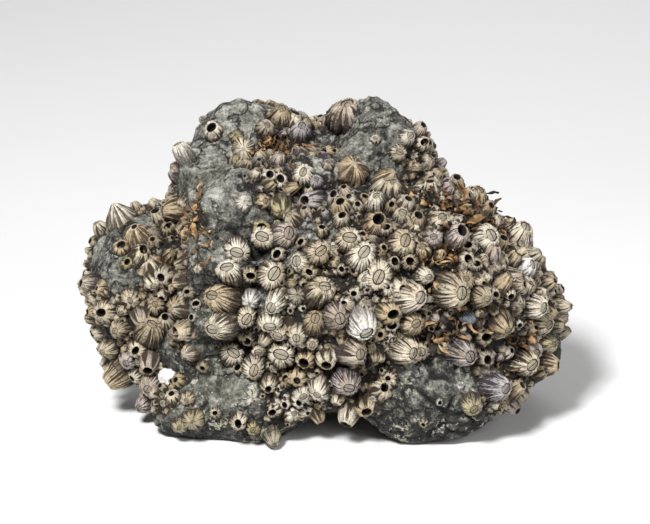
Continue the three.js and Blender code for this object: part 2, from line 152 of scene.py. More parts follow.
class GrowthTree(Tree):
    """A Geometry Nodes tree with named inputs."""

    def __init__(self, name):
        super().__init__(bpy.data.node_groups.new(name, "GeometryNodeTree"))
        self.group.is_modifier = True
        self.group.interface.new_socket("Geometry", in_out="OUTPUT", socket_type="NodeSocketGeometry")
        self.asked_for = self.group.nodes.new("NodeGroupInput")
        self.result = self.group.nodes.new("NodeGroupOutput")
        self.sockets = {}

    def ask(self, name, kind="Float", default=None):
        item = self.group.interface.new_socket(name, in_out="INPUT", socket_type="NodeSocket" + kind)
        if default is not None:
            item.default_value = default
        self.sockets[name] = item.identifier
        socket = next(s for s in self.asked_for.outputs if s.identifier == item.identifier)
        return Field(self, socket)

    def position(self):
        return self.node("GeometryNodeInputPosition")

    def stored(self, geometry, name, value, kind="FLOAT", domain="POINT"):
        values = {"Geometry": geometry, "Name": name, "Value": value}
        return self.node("GeometryNodeStoreNamedAttribute", values, data_type=kind, domain=domain)

    def named(self, name, kind="FLOAT"):
        return self.node("GeometryNodeInputNamedAttribute", {"Name": name}, data_type=kind)

    def chance(self, low, high, seed):
        values = {2: low, 3: high, 8: seed}
        return self.node("FunctionNodeRandomValue", values, out=1, data_type="FLOAT")

    def finish(self, geometry, material):
        realized = self.node("GeometryNodeRealizeInstances", {0: geometry})
        coated = self.node("GeometryNodeSetMaterial", {"Geometry": realized, "Material": material})
        self.group.links.new(coated.socket, self.result.inputs[0])

    def grow(self, name, source=None, **inputs):
        """The plain mesh that the tree makes out of a source mesh and its inputs."""
        seedling = bpy.data.objects.new(name, source or bpy.data.meshes.new(name))
        modifier = seedling.modifiers.new("Growth", "NODES")
        modifier.node_group = self.group
        for label, value in inputs.items():
            modifier[self.sockets[label.replace("_", " ")]] = value
        bpy.context.scene.collection.objects.link(seedling)
        depsgraph = bpy.context.evaluated_depsgraph_get()
        made = bpy.data.meshes.new_from_object(seedling.evaluated_get(depsgraph), depsgraph=depsgraph)
        bpy.data.objects.remove(seedling)
        made.name = name
        return made


# ---- Materials ----
class Coat(Tree):
    """A material being built."""

    def __init__(self, name, roughness=0.8, sheen=None):
        self.material = bpy.data.materials.new(name)
        self.material.use_nodes = True
        super().__init__(self.material.node_tree)
        self.shader = self.group.nodes["Principled BSDF"]
        self.shader.inputs["Roughness"].default_value = roughness
        self.place = self.node("ShaderNodeTexCoord", out=3)

    def attribute(self, name, out=2):
        return self.node("ShaderNodeAttribute", out=out, attribute_name=name)

    def ramp(self, share, stops):
        """Colours at given shares, with straight blends between them."""
        ramp = self.node("ShaderNodeValToRGB", {0: share})
        band = ramp.socket.node.color_ramp
        while len(band.elements) < len(stops):
            band.elements.new(0.5)
        for element, (at, colour) in zip(band.elements, stops):
            element.position = at
            element.color = (*colour, 1)
        return ramp

    def mix(self, share, a, b, how="MIX"):
        node = self.group.nodes.new("ShaderNodeMix")
        node.data_type = "RGBA"
        node.blend_type = how
        for index, value in ((0, share), (6, a), (7, b)):
            if isinstance(value, Field):
                self.group.links.new(value.socket, node.inputs[index])
            else:
                node.inputs[index].default_value = (*value, 1) if isinstance(value, tuple) else value
        return Field(self, node.outputs[2])

    def bump(self, height, depth, strength=1.0):
        values = {"Height": height, "Distance": depth, "Strength": strength}
        normal = self.node("ShaderNodeBump", values)
        self.group.links.new(normal.socket, self.shader.inputs["Normal"])

    def finish(self, colour, roughness=None):
        self.group.links.new(colour.socket, self.shader.inputs["Base Color"])
        if roughness is not None:
            self.group.links.new(roughness.socket, self.shader.inputs["Roughness"])
        return self.material


def stone_coat():
    """Grey stone, painted lighter where it faces up as light from above, near black in its creases as painted
    shade, and near black under the shells as dark soil with painted shade between them.
    """
    coat = Coat("Weathered Stone", roughness=0.86)
    worn = coat.attribute("worn")
    dirt_and_painted_shade = coat.attribute("dirt_and_painted_shade")
    # up: how far a face looks up; the tone below paints such faces lighter, as painted light from above
    _, _, up = coat.split(coat.node("ShaderNodeNewGeometry", out=1))
    grain = coat.noise(coat.place, 1000, 4, 0.75)
    mottle = coat.noise(coat.place, 150, 4, 0.65)
    patch = coat.noise(coat.place, 26, 2)
    pitted = coat.noise(coat.place, 420, 3, 0.7)
    # Thin meandering creases, darkened in the tone as painted shade and pressed in by the bump
    folds = coat.math("ABSOLUTE", coat.noise(coat.place, 55, 4, 0.6))
    crease = 1 - coat.step(folds, 0.0, 0.07)
    # Painted light and shade in the tone: worn lightens where the stone stands out and darkens its cracks and
    # dips, up lightens faces that look up, crease darkens the creases; mottle, grain, pitted and patch are
    # the stone's own tone
    tone = 0.48 + worn * 0.7 + mottle * 0.35 + grain * 0.6 + pitted * 0.65
    tone = tone + up * 0.3 + patch * 0.12 - crease * 0.4
    grey = coat.ramp(coat.clamped(tone), [
        (0.0, (0.009, 0.0085, 0.007)),
        (0.25, (0.045, 0.044, 0.037)),
        (0.5, (0.145, 0.142, 0.12)),
        (0.75, (0.31, 0.305, 0.265)),
        (1.0, (0.56, 0.55, 0.5)),
    ])
    greenish = coat.mix(coat.step(patch, 0.05, 0.5) * 0.35, grey, (0.1, 0.105, 0.06))
    speck = coat.step(coat.noise(coat.place, 300, 4, 0.65), 0.26, 0.38)
    _, _, height = coat.split(coat.place)
    low = 1 - coat.step(height, 20 * MM, 60 * MM)
    patches = coat.step(coat.noise(coat.place, 95, 4, 0.7), 0.17, 0.23) * low * 0.9
    chalky = speck * coat.clamped(coat.step(patch, -0.2, 0.3) * 0.3 + low * 0.85)
    chalky = coat.clamped(chalky + patches)
    chalk = coat.mix(coat.step(pitted, -0.2, 0.3), (0.66, 0.64, 0.57), (0.42, 0.37, 0.2))
    dusty = coat.mix(chalky, greenish, chalk)
    # Under the shells the stone is dark soil, darkened to near black as painted shade between them
    soil_and_painted_shade = coat.mix(coat.step(grain + pitted * 0.5, 0.0, 0.6), (0.005, 0.0033, 0.0015), (0.06, 0.039, 0.018))
    coat.bump(mottle * 0.7 + grain * 0.6 + pitted * 0.9 - crease * 1.2 + folds * 1.5, 1.3 * MM, 1.0)
    return coat.finish(coat.mix(dirt_and_painted_shade * 0.97, dusty, soil_and_painted_shade))


SHELL_LIGHT = [
    (0.0, (0.82, 0.76, 0.64)),
    (0.3, (0.7, 0.61, 0.46)),
    (0.45, (0.55, 0.43, 0.27)),
    (0.58, (0.52, 0.44, 0.33)),
    (0.7, (0.55, 0.47, 0.43)),
    (0.8, (0.51, 0.47, 0.47)),
    (0.9, (0.48, 0.41, 0.22)),
    (1.0, (0.84, 0.82, 0.79)),
]
# The dark shell colours, used for the shells' own markings and for the shade painted into their grooves,
# inside their lips and at their feet
SHELL_DARK = [
    (0.0, (0.055, 0.036, 0.02)),
    (0.3, (0.04, 0.026, 0.012)),
    (0.45, (0.04, 0.022, 0.009)),
    (0.58, (0.038, 0.025, 0.016)),
    (0.7, (0.045, 0.029, 0.028)),
    (0.8, (0.035, 0.028, 0.034)),
    (0.9, (0.04, 0.03, 0.012)),
    (1.0, (0.18, 0.16, 0.15)),
]


def shell_coat(name="Barnacle Shell", roughness=0.72):
    """Chalky ribs with painted shade in the grooves and at the wall's foot, a lid with growth lines, and a
    hollow painted black as shade.
    """
    coat = Coat(name, roughness)
    tint = coat.attribute("tint")
    stripe = coat.attribute("stripe")
    groove = coat.attribute("groove")
    rise = coat.attribute("rise")
    closed = coat.attribute("closed")
    x, y, _ = coat.split(coat.attribute("spoke", out=1))
    across, along, _ = coat.split(coat.attribute("lid_place", out=1))
    drift = tint * 40
    fine = coat.noise(coat.vector(x * 5.5 + drift, y * 5.5, rise * 1.1), 1, 4, 0.62)
    broad = coat.noise(coat.vector(x * 2.4 - drift, y * 2.4, rise * 0.6), 1, 2)
    spots = coat.noise(coat.place, 1000, 4, 0.65)
    stain = coat.step(coat.noise(coat.place, 90, 3, 0.6), -0.05, 0.4)
    grime = coat.step(coat.noise(coat.place, 210, 4, 0.65), 0.12, 0.4)
    # sharp: the grooves and the inside of the lip, painted dark as shade
    sharp = coat.step(groove, 0.2, 0.6)
    bands = coat.noise(coat.vector(x * 1.5, y * 1.5, rise * 9 + drift), 1, 3)
    lines = coat.step(fine, 0.06, 0.24) * (0.55 + stripe * 0.45) + coat.step(broad, 0.1, 0.3) * stripe * 0.5
    # Darker towards the foot of the wall: painted shade
    dirt_and_painted_shade = coat.clamped(1.25 - rise * 1.9) * 0.95
    worn = coat.step(bands + spots * 0.5, 0.1, 0.5) * 0.45
    # dark: the shell's own markings (lines, worn bands, grime, spots) and the painted shade of sharp and the
    # wall's foot
    dark = coat.clamped(sharp * 1.1 + lines * 0.9 + dirt_and_painted_shade + worn + grime * 0.5 + spots * 0.5 - 0.08)
    muck = coat.step(coat.noise(coat.place, 24, 3, 0.6), 0.02, 0.3)
    light = coat.mix(stain * 0.5, coat.ramp(tint, SHELL_LIGHT), (0.38, 0.28, 0.13))
    muck = muck * (1 - coat.step(tint, 0.92, 0.97))
    light = coat.mix(muck * 0.5, light, (0.26, 0.2, 0.1))
    wall = coat.mix(dark, light, coat.ramp(tint, SHELL_DARK))

    # The lid: two plates that meet in a crooked line, each with growth lines
    from_slit = coat.math("ABSOLUTE", along + coat.math("SINE", across * 3) * 0.04)
    slit = 1 - coat.step(from_slit, 0.02, 0.12)
    growth = coat.math("SINE", from_slit * 22 + spots * 2.5) * 0.5 + 0.5
    lid_dark = coat.clamped(growth * 0.5 + slit * 0.95 + spots * 0.5 - 0.02)
    lid_light = coat.mix(0.4, coat.ramp(tint, SHELL_LIGHT), (0.4, 0.33, 0.22))
    lid = coat.mix(lid_dark, lid_light, (0.05, 0.036, 0.02))

    # The gap round the lid and the inside of an empty shell, painted near black as shade, the hollow darker
    # the deeper it goes
    gap = coat.step(rise, 1.3, 1.55) * (1 - coat.step(rise, 1.88, 2.0))
    inner = coat.mix(coat.step(rise, 1.2, 1.6), (0.16, 0.1, 0.055), (0.008, 0.005, 0.003))
    top = coat.mix(gap, coat.mix(coat.step(rise, 1.9, 2.0), wall, lid), (0.012, 0.008, 0.005))
    hollow = coat.mix(coat.step(rise, 1.1, 1.4), wall, inner)
    lid_height = lid_dark * coat.step(rise, 1.9, 2.0) * 0.6
    coat.bump(0.7 * spots - fine * 1.0 - lines * 0.8 - bands * 0.5 - lid_height, 0.6 * MM, 1.0)
    return coat.finish(coat.mix(closed, hollow, top))


def limpet_coat():
    """Brown and cream rays down a low cone, with a pale worn tip, painted shade in its grooves and towards
    its foot, and a hole painted near black as shade.
    """
    coat = Coat("Limpet Shell", 0.7)
    tint = coat.attribute("tint")
    groove = coat.attribute("groove")
    rise = coat.attribute("rise")
    x, y, _ = coat.split(coat.attribute("spoke", out=1))
    rays = coat.noise(coat.vector(x * 7, y * 7, rise * 0.4 + tint * 9), 1, 2)
    rings = coat.noise(coat.vector(x * 0.4, y * 0.4, rise * 14), 1, 2)
    spots = coat.noise(coat.place, 900, 3, 0.6)
    # groove paints the grooves dark as shade; rays, rings and spots are the shell's own markings
    dark = groove * 0.8 + coat.step(rays, -0.12, 0.12) * 0.85 + rings * 0.35 + spots * 0.5 + 0.06
    dark = coat.clamped(dark)
    body = coat.mix(dark, coat.ramp(tint, SHELL_LIGHT), coat.ramp(tint, SHELL_DARK))
    # Darker towards the foot: painted shade
    body = coat.mix(coat.clamped(0.8 - rise * 1.1), body, (0.06, 0.042, 0.022))
    worn = coat.step(rise + spots * 0.1, 0.8, 1.0)
    coat.bump(rings * 0.5 - rays * 0.5 + spots * 0.4, 0.35 * MM, 0.9)
    # The open limpet's hole, painted near black as shade
    hole = coat.step(rise, 1.2, 1.5) * (1 - coat.attribute("closed"))
    return coat.finish(coat.mix(hole, coat.mix(worn * 0.6, body, (0.56, 0.5, 0.4)), (0.015, 0.01, 0.008)))


def chip_coat():
    """Worn white shell, yellowish in places."""
    coat = Coat("Shell Chip", 0.55)
    spots = coat.noise(coat.place, 500, 4, 0.65)
    stain = coat.step(coat.noise(coat.place, 160, 2), 0.1, 0.5)
    white = coat.ramp(coat.clamped(0.55 + spots * 0.6), [
        (0.2, (0.3, 0.3, 0.27)),
        (0.5, (0.66, 0.67, 0.63)),
        (0.8, (0.86, 0.86, 0.84)),
    ])
    coat.bump(spots, 0.4 * MM, 0.9)
    return coat.finish(coat.mix(stain * 0.6, white, (0.42, 0.36, 0.16)))


def mussel_coat():
    """Blue grey with pale growth lines and a soft shine."""
    coat = Coat("Mussel Shell", 0.36)
    spots = coat.noise(coat.place, 600, 3, 0.6)
    x, _, z = coat.split(coat.place)
    lines = coat.math("SINE", (x + z) * 5200 + spots * 2) * 0.5 + 0.5
    blue = coat.mix(coat.clamped(lines * 0.4 + spots * 0.6), (0.03, 0.038, 0.055), (0.34, 0.37, 0.41))
    coat.bump(lines * 0.5 + spots * 0.5, 0.25 * MM, 0.8)
    return coat.finish(blue)


def weed_coat():
    """Dried weed, from dark brown through orange to straw."""
    coat = Coat("Dried Weed", 0.7)
    tint = coat.attribute("tint")
    spots = coat.noise(coat.place, 420, 4, 0.6)
    body = coat.ramp(coat.clamped(tint + spots * 0.55), [
        (0.0, (0.012, 0.008, 0.005)),
        (0.3, (0.05, 0.028, 0.013)),
        (0.55, (0.17, 0.085, 0.03)),
        (0.78, (0.34, 0.2, 0.085)),
        (1.0, (0.52, 0.42, 0.25)),
    ])
    coat.bump(spots, 0.4 * MM, 0.9)
    return coat.finish(body)


# ---- Trees ----
FOOT_STEPS = 2  # rings of the buried foot: its middle and its edge
LIP_STEPS = 4  # rings from the rim, over the lip, to the lid's edge
CLOSED_LIP = [1.0, 0.97, 0.92, 0.85, 0.79]
CLOSED_DROP = [0.0, 0.05, -0.06, -0.34, -0.12]
EMPTY_LIP = [1.0, 0.95, 0.88, 0.86, 0.8]
EMPTY_DROP = [0.0, 0.05, -0.1, -0.95, -1.8]


def barnacle_tree():
    """One shell: a ribbed cone of six plates round a mouth, which a lid closes unless the shell is empty."""
    tree = GrowthTree("Acorn Barnacle")
    base = tree.ask("Base Radius", default=6 * MM)
    tall = tree.ask("Height", default=8 * MM)
    mouth = tree.ask("Mouth Radius", default=2.5 * MM)
    oval = tree.ask("Mouth Oval", default=1.15)
    dome = tree.ask("Dome", default=1.35)
    ribs = tree.ask("Ribs", "Int", 20)
    rib_depth = tree.ask("Rib Depth", default=0.07)
    ragged = tree.ask("Ragged Rim", default=0.05)
    skew = tree.ask("Skew", default=0.0)
    closed = tree.ask("Closed", default=1.0)
    root = tree.ask("Root", default=3 * MM)
    seed = tree.ask("Seed", default=0.0)
    around = tree.ask("Around", "Int", 80)
    wall_rings = tree.ask("Wall Rings", "Int", 16)
    lid_rings = tree.ask("Lid Rings", "Int", 7)
    material = tree.ask("Material", "Material")

    rings = wall_rings + lid_rings + (FOOT_STEPS + LIP_STEPS)
    tube_values = {"Vertices": around, "Side Segments": rings, "Radius": 1.0, "Depth": 1.0}
    tube = tree.node("GeometryNodeMeshCylinder", tube_values, fill_type="NONE")
    x, y, z = tree.split(tree.position())
    angle = tree.math("ARCTAN2", y, x)
    ring = tree.math("ROUND", (z + 0.5) * rings)
    foot = tree.clamped(ring, 0, FOOT_STEPS)
    climb = tree.clamped((ring - FOOT_STEPS) / wall_rings)
    lip = tree.clamped(ring - FOOT_STEPS - wall_rings, 0, LIP_STEPS)
    lid = tree.clamped((ring - FOOT_STEPS - LIP_STEPS - wall_rings) / lid_rings)

    def around_noise(coarseness, drift, rising=0.0):
        along = tree.vector(x * coarseness + seed * 7.3, y * coarseness + drift, climb * rising + seed)
        return tree.noise(along)

    # Ribs with narrow grooves between them, and the seams of six plates
    wander = around_noise(1.3, 5, 0.6) * 1.9 + around_noise(4.5, 12, 0.8) * 0.9
    rib = 1 - tree.math("ABSOLUTE", tree.math("COSINE", angle * ribs * 0.5 + wander))
    rib = tree.step(rib, 0.3, 0.92) * tree.clamped(0.75 + around_noise(3.1, 9, 0.7) * 1.4)
    seam = tree.step(tree.math("ABSOLUTE", tree.math("SINE", angle * 3 + wander * 0.6 + seed)), 0.955, 1.0)
    groove = tree.clamped(tree.math("MAXIMUM", rib, seam * 0.9))
    fade = tree.blend(climb, 1.0, 0.3) * (1 - tree.clamped(lip * 0.5))

    # The wall: from a cone to a dome, pushed in along the grooves and out by its lumps
    turn = climb * (math.pi / 2)
    outward = tree.math("COSINE", turn)
    upward = tree.math("SINE", turn)
    lumps = around_noise(2.2, 3, 2.5) * 0.16 + around_noise(5, 1, 5) * 0.12 + around_noise(2, 6, 11) * 0.06
    scallop = (0.5 - groove) * rib_depth * fade * (1 + around_noise(2.6, 14) * 0.7)
    push = base * (scallop + lumps * tree.blend(climb, 1.0, 0.4)) * (1 - tree.clamped(lip))
    lopsided = 1 + around_noise(0.7, 2) * tree.blend(climb, 0.3, 0.12)
    wall_radius = mouth + (base * lopsided - mouth) * outward**dome + push * outward
    wall_height = tall * upward**dome + push * upward
    ragged_rim = tall * ragged * around_noise(3.2, 4) * climb**3 * (1 - lip / LIP_STEPS)
    rim_notch = seam * tall * -0.035 * climb**4 * (1 - lip / LIP_STEPS)

    # Over the lip and down to the lid, or into the hollow
    lip_share = tree.blend(closed, tree.stairs(lip, EMPTY_LIP), tree.stairs(lip, CLOSED_LIP))
    lip_drop = tree.blend(closed, tree.stairs(lip, EMPTY_DROP), tree.stairs(lip, CLOSED_DROP)) * mouth
    reach = 1 - lid
    lid_x = x * reach
    lid_y = y * reach
    roof = (1 - tree.math("ABSOLUTE", lid_y)) * 0.3 * (1 - reach**3) * closed
    slit = tree.math("EXPONENT", lid_y * lid_y * -160) * (1 - reach**2) * -0.12 * closed
    on_lid = tree.clamped(lid * 1000)

    radius = wall_radius * lip_share * reach * tree.clamped(foot)
    flare = 1 + (1 - tree.clamped(foot - 1)) * 0.02
    long = tree.blend(climb, 1.0, oval)
    height = wall_height + ragged_rim + rim_notch + lip_drop + (roof + slit) * mouth * on_lid
    height = height - root * (1 - tree.clamped(foot - 1))
    place = tree.vector(x * radius * flare * long + skew * base * climb**2, y * radius * flare / long, height)

    rise = climb + lip / LIP_STEPS + lid
    # The inside of the lip, down to the lid or into the hollow, goes into groove with the rib grooves; the
    # coats paint both dark as shade
    gap_painted_shade = tree.step(lip, 1.5, 3.0) * (1 - on_lid)
    for name, value, kind in (
        ("groove", tree.clamped(groove * fade * 1.15 + gap_painted_shade), "FLOAT"),
        ("rise", rise, "FLOAT"),
        ("closed", closed, "FLOAT"),
        ("spoke", tree.vector(x, y, rise), "FLOAT_VECTOR"),
        ("lid_place", tree.vector(lid_x, lid_y, on_lid), "FLOAT_VECTOR"),
    ):
        tube = tree.stored(tube, name, value, kind)
    shaped = tree.node("GeometryNodeSetPosition", {"Geometry": tube, "Position": place})
    welded = tree.node("GeometryNodeMergeByDistance", {"Geometry": shaped, "Distance": base * 0.001})
    smooth = tree.node("GeometryNodeSetShadeSmooth", {0: welded})
    tree.finish(smooth, material)
    return tree


def stone_tree():
    """The stone's plain faces rounded off, then weathered into bulges with creases between them, and pits."""
    tree = GrowthTree("Weathered Stone")
    plain = tree.ask("Plain Stone", "Geometry")
    levels = tree.ask("Levels", "Int", 3)
    bulge_depth = tree.ask("Bulge Depth", default=3.8 * MM)
    knob_depth = tree.ask("Knob Depth", default=2.8 * MM)
    crack_depth = tree.ask("Crack Depth", default=2.2 * MM)
    pit_depth = tree.ask("Pit Depth", default=1.3 * MM)
    foot_height = tree.ask("Foot Height", default=7 * MM)
    material = tree.ask("Material", "Material")

    fine = tree.node("GeometryNodeSubdivisionSurface", {"Mesh": plain, "Level": levels})
    place = tree.position()
    bulges = tree.math("ABSOLUTE", tree.noise(place, 40, 2))
    knobs = tree.math("ABSOLUTE", tree.noise(tree.scaled(place, (1.0, 1.0, 1.6)), 110, 2, 0.6))
    crazing = tree.node("ShaderNodeTexVoronoi", {"Vector": place, "Scale": 50.0}, feature="DISTANCE_TO_EDGE")
    crazing = crazing + tree.noise(place, 90, 2) * 0.09
    cracks = (1 - tree.step(crazing, 0.0, 0.05)) * tree.step(tree.noise(place, 20), -0.05, 0.3)
    pits = tree.noise(place, 380, 3, 0.65)
    depth = (bulges - 0.2) * bulge_depth + (knobs - 0.2) * knob_depth
    depth = depth - cracks * crack_depth + pits * pit_depth
    _, _, z = tree.split(place)
    depth = depth * tree.step(z, 0.3 * MM, foot_height)
    facing = tree.node("GeometryNodeInputNormal")
    offset = tree.node("ShaderNodeVectorMath", {0: facing, "Scale": depth}, operation="SCALE")
    # worn follows the weathering's height; the stone coat paints it as light on the bulges and knobs and as
    # shade in the cracks and dips
    worn = (bulges - 0.2) * 0.9 + (knobs - 0.2) * 1.3 + pits * 0.5 - cracks * 0.9
    fine = tree.stored(fine, "worn", worn)
    moved = tree.node("GeometryNodeSetPosition", {"Geometry": fine, "Offset": offset})
    x, y, z = tree.split(tree.position())
    flat_foot = tree.vector(x, y, tree.math("MAXIMUM", z, 0.0))
    moved = tree.node("GeometryNodeSetPosition", {"Geometry": moved, "Position": flat_foot})
    smooth = tree.node("GeometryNodeSetShadeSmooth", {0: moved})
    tree.finish(smooth, material)
    return tree


def flake_tree():
    """A curled strip of weed with a wavy edge."""
    tree = GrowthTree("Weed Flake")
    width = tree.ask("Width", default=0.5)
    curl = tree.ask("Curl", default=2.0)
    thick = tree.ask("Thickness", default=0.07)
    twist = tree.ask("Twist", default=0.6)
    wave = tree.ask("Wave", default=0.12)
    length = tree.ask("Length", default=2.0)
    seed = tree.ask("Seed", default=0.0)
    steps = tree.ask("Steps", "Int", 9)
    material = tree.ask("Material", "Material")
    bar_values = {"Size": (1.0, 1.0, 1.0), "Vertices X": steps, "Vertices Y": 3, "Vertices Z": 2}
    bar = tree.node("GeometryNodeMeshCube", bar_values)
    x, y, z = tree.split(tree.position())
    along = x + 0.5
    turn = curl * (along + 0.15)
    taper = 0.45 + tree.math("SINE", along * math.pi * 0.9 + 0.15) * 0.55
    sway = tree.noise(tree.vector(along * 2 + seed, y * 2.2, seed * 3)) * wave
    radius = length / curl
    out = radius + z * thick + sway + tree.math("ABSOLUTE", y) * twist * 0.3
    side = y * width * taper + along * along * twist
    place = tree.vector(tree.math("SINE", turn) * out, side, radius - tree.math("COSINE", turn) * out)
    shaped = tree.node("GeometryNodeSetPosition", {"Geometry": bar, "Position": place})
    smooth = tree.node("GeometryNodeSetShadeSmooth", {0: shaped})
    tree.finish(smooth, material)
    return tree


def chip_tree():
    """A plain solid rounded off and made lumpy."""
    tree = GrowthTree("Worn Chip")
    plain = tree.ask("Plain Chip", "Geometry")
    levels = tree.ask("Levels", "Int", 4)
    lump_depth = tree.ask("Lump Depth", default=1.2 * MM)
    lump_size = tree.ask("Lumps", default=230.0)
    swell = tree.ask("Swell", default=0.8 * MM)
    material = tree.ask("Material", "Material")
    fine = tree.node("GeometryNodeSubdivisionSurface", {"Mesh": plain, "Level": levels})
    lumps = tree.noise(tree.position(), lump_size, 3, 0.6)
    facing = tree.node("GeometryNodeInputNormal")
    offset_values = {0: facing, "Scale": lumps * lump_depth + swell}
    offset = tree.node("ShaderNodeVectorMath", offset_values, operation="SCALE")
    moved = tree.node("GeometryNodeSetPosition", {"Geometry": fine, "Offset": offset})
    smooth = tree.node("GeometryNodeSetShadeSmooth", {0: moved})
    tree.finish(smooth, material)
    return tree


def crumb_tree():
    """A small angular crumb of shell or grit."""
    tree = GrowthTree("Crumb")
    seed = tree.ask("Seed", default=0.0)
    flat = tree.ask("Flatness", default=0.6)
    material = tree.ask("Material", "Material")
    ball = tree.node("GeometryNodeMeshIcoSphere", {"Radius": 1.0, "Subdivisions": 1})
    place = tree.position()
    drift = tree.node("ShaderNodeVectorMath", {0: place, 1: tree.vector(seed, seed, seed)}, operation="ADD")
    swell = 1 + tree.noise(drift, 1.1, 2) * 0.9
    x, y, z = tree.split(place)
    shaped_place = tree.vector(x * swell, y * swell * 0.75, z * swell * flat)
    # The fixed rise of 0.38 sets each crumb in the shell coat's painted shade at a wall's foot, so the crumbs
    # come out darker
    for name, value, kind in (
        ("groove", swell * 0.3 - 0.1, "FLOAT"), ("rise", 0.38, "FLOAT"), ("closed", 1.0, "FLOAT"),
        ("spoke", place, "FLOAT_VECTOR"), ("lid_place", place, "FLOAT_VECTOR"),
    ):
        ball = tree.stored(ball, name, value, kind)
    shaped = tree.node("GeometryNodeSetPosition", {"Geometry": ball, "Position": shaped_place})
    tree.finish(shaped, material)
    return tree


def colony_tree():
    """Shells scattered over the faces of one bed, clear of the larger shells around them."""
    tree = GrowthTree("Barnacle Colony")
    ground = tree.ask("Ground", "Geometry")
    bed = tree.ask("Bed", "Int", 0)
    shells = tree.ask("Shells", "Collection")
    kinds = tree.ask("Kinds", "Int", 8)
    spacing = tree.ask("Spacing", default=6 * MM)
    smallest = tree.ask("Smallest", default=2 * MM)
    largest = tree.ask("Largest", default=4 * MM)
    lean = tree.ask("Lean", default=0.5)
    sink = tree.ask("Sink", default=0.1)
    fill = tree.ask("Fill", default=1.0)
    tint_low = tree.ask("Tint Low", default=0.0)
    tint_high = tree.ask("Tint High", default=1.0)
    seed = tree.ask("Seed", "Int", 1)
    neighbours = tree.ask("Neighbours", "Object")
    overlap = tree.ask("Overlap", default=0.8)
    own_room = tree.ask("Own Room", default=0.5)
    material = tree.ask("Material", "Material")

    on_bed = tree.node(
        "FunctionNodeCompare", {2: tree.named("bed", "INT"), 3: bed}, data_type="INT", operation="EQUAL"
    )
    spread_values = {
        "Mesh": ground, "Selection": on_bed, "Distance Min": spacing, "Density Max": 4 / (spacing * spacing),
        "Density Factor": fill, "Seed": seed,
    }
    points = tree.node("GeometryNodeDistributePointsOnFaces", spread_values, distribute_method="POISSON")
    turned = tree.sibling(points, 2)
    facing = tree.sibling(points, 1)
    points = tree.stored(points, "facing", facing, "FLOAT_VECTOR")
    size = smallest + (largest - smallest) * tree.chance(0, 1, seed + 1) ** 1.6
    points = tree.stored(points, "reach", size)

    around = tree.node("GeometryNodeObjectInfo", {"Object": neighbours}, out="Geometry")
    place = tree.position()
    nearest = tree.node("GeometryNodeSampleNearest", {"Geometry": around, "Sample Position": place})
    place_values = {"Geometry": around, "Value": place, "Index": nearest}
    its_place = tree.node("GeometryNodeSampleIndex", place_values, data_type="FLOAT_VECTOR")
    reach_values = {"Geometry": around, "Value": tree.named("reach"), "Index": nearest}
    its_reach = tree.node("GeometryNodeSampleIndex", reach_values, data_type="FLOAT")
    away = tree.node("ShaderNodeVectorMath", {0: place, 1: its_place}, out="Value", operation="DISTANCE")
    crowded = away < its_reach * overlap + tree.named("reach") * own_room
    crowded_values = {"Geometry": points, "Selection": crowded}
    points = tree.node("GeometryNodeDeleteGeometry", crowded_values, domain="POINT")

    colony_values = {"Collection": shells, "Separate Children": True, "Reset Children": True}
    colony = tree.node("GeometryNodeCollectionInfo", colony_values)
    pick = tree.node("FunctionNodeRandomValue", {4: 0, 5: kinds - 1, 8: seed + 2}, out=2, data_type="INT")
    wobble = tree.vector(
        lean * tree.chance(-1, 1, seed + 3),
        lean * tree.chance(-1, 1, seed + 4),
        tree.chance(0, math.tau, seed + 5),
    )
    wobble = tree.node("FunctionNodeEulerToRotation", {0: wobble})
    stance = tree.node(
        "FunctionNodeRotateRotation", {"Rotation": turned, "Rotate By": wobble}, rotation_space="LOCAL"
    )
    reach = tree.named("reach")
    placed_values = {
        "Points": points, "Instance": colony, "Pick Instance": True, "Instance Index": pick,
        "Rotation": stance, "Scale": tree.vector(reach, reach, reach * tree.chance(0.8, 1.25, seed + 6)),
    }
    placed = tree.node("GeometryNodeInstanceOnPoints", placed_values)
    down = tree.node(
        "ShaderNodeVectorMath", {0: tree.named("facing", "FLOAT_VECTOR"), "Scale": reach * sink * -1},
        operation="SCALE",
    )
    placed = tree.node(
        "GeometryNodeTranslateInstances", {"Instances": placed, "Translation": down, "Local Space": False}
    )
    tint = tree.blend(tree.chance(0, 1, seed + 7), tint_low, tint_high)
    placed = tree.stored(placed, "tint", tint, domain="INSTANCE")
    placed = tree.stored(placed, "stripe", tree.chance(0, 1, seed + 8), domain="INSTANCE")
    tree.finish(placed, material)
    return tree


# ---- Helpers for meshes and pieces ----
def merged_copy(node):
    """A copy of a CAD node's mesh with its loose triangles joined up."""
    mesh = node.data.copy()
    work = bpy.data.objects.new("Merging", mesh)
    bpy.context.scene.collection.objects.link(work)
    modifier = work.modifiers.new("Weld", "WELD")
    modifier.merge_threshold = 0.02 * MM
    depsgraph = bpy.context.evaluated_depsgraph_get()
    made = bpy.data.meshes.new_from_object(work.evaluated_get(depsgraph), depsgraph=depsgraph)
    bpy.data.objects.remove(work)
    for name in [layer.name for layer in made.uv_layers]:
        made.uv_layers.remove(made.uv_layers[name])
    made.materials.clear()
    return made


def corners(mesh):
    places = np.empty(len(mesh.vertices) * 3)
    mesh.vertices.foreach_get("co", places)
    return places.reshape(-1, 3)


def surface(mesh):
    mesh.calc_loop_triangles()
    return BVHTree.FromPolygons([v.co for v in mesh.vertices], [t.vertices for t in mesh.loop_triangles])


def number_attribute(mesh, name, value):
    """The same number on every corner of a mesh."""
    layer = mesh.attributes.get(name) or mesh.attributes.new(name, "FLOAT", "POINT")
    layer.data.foreach_set("value", np.full(len(mesh.vertices), value, np.float32))


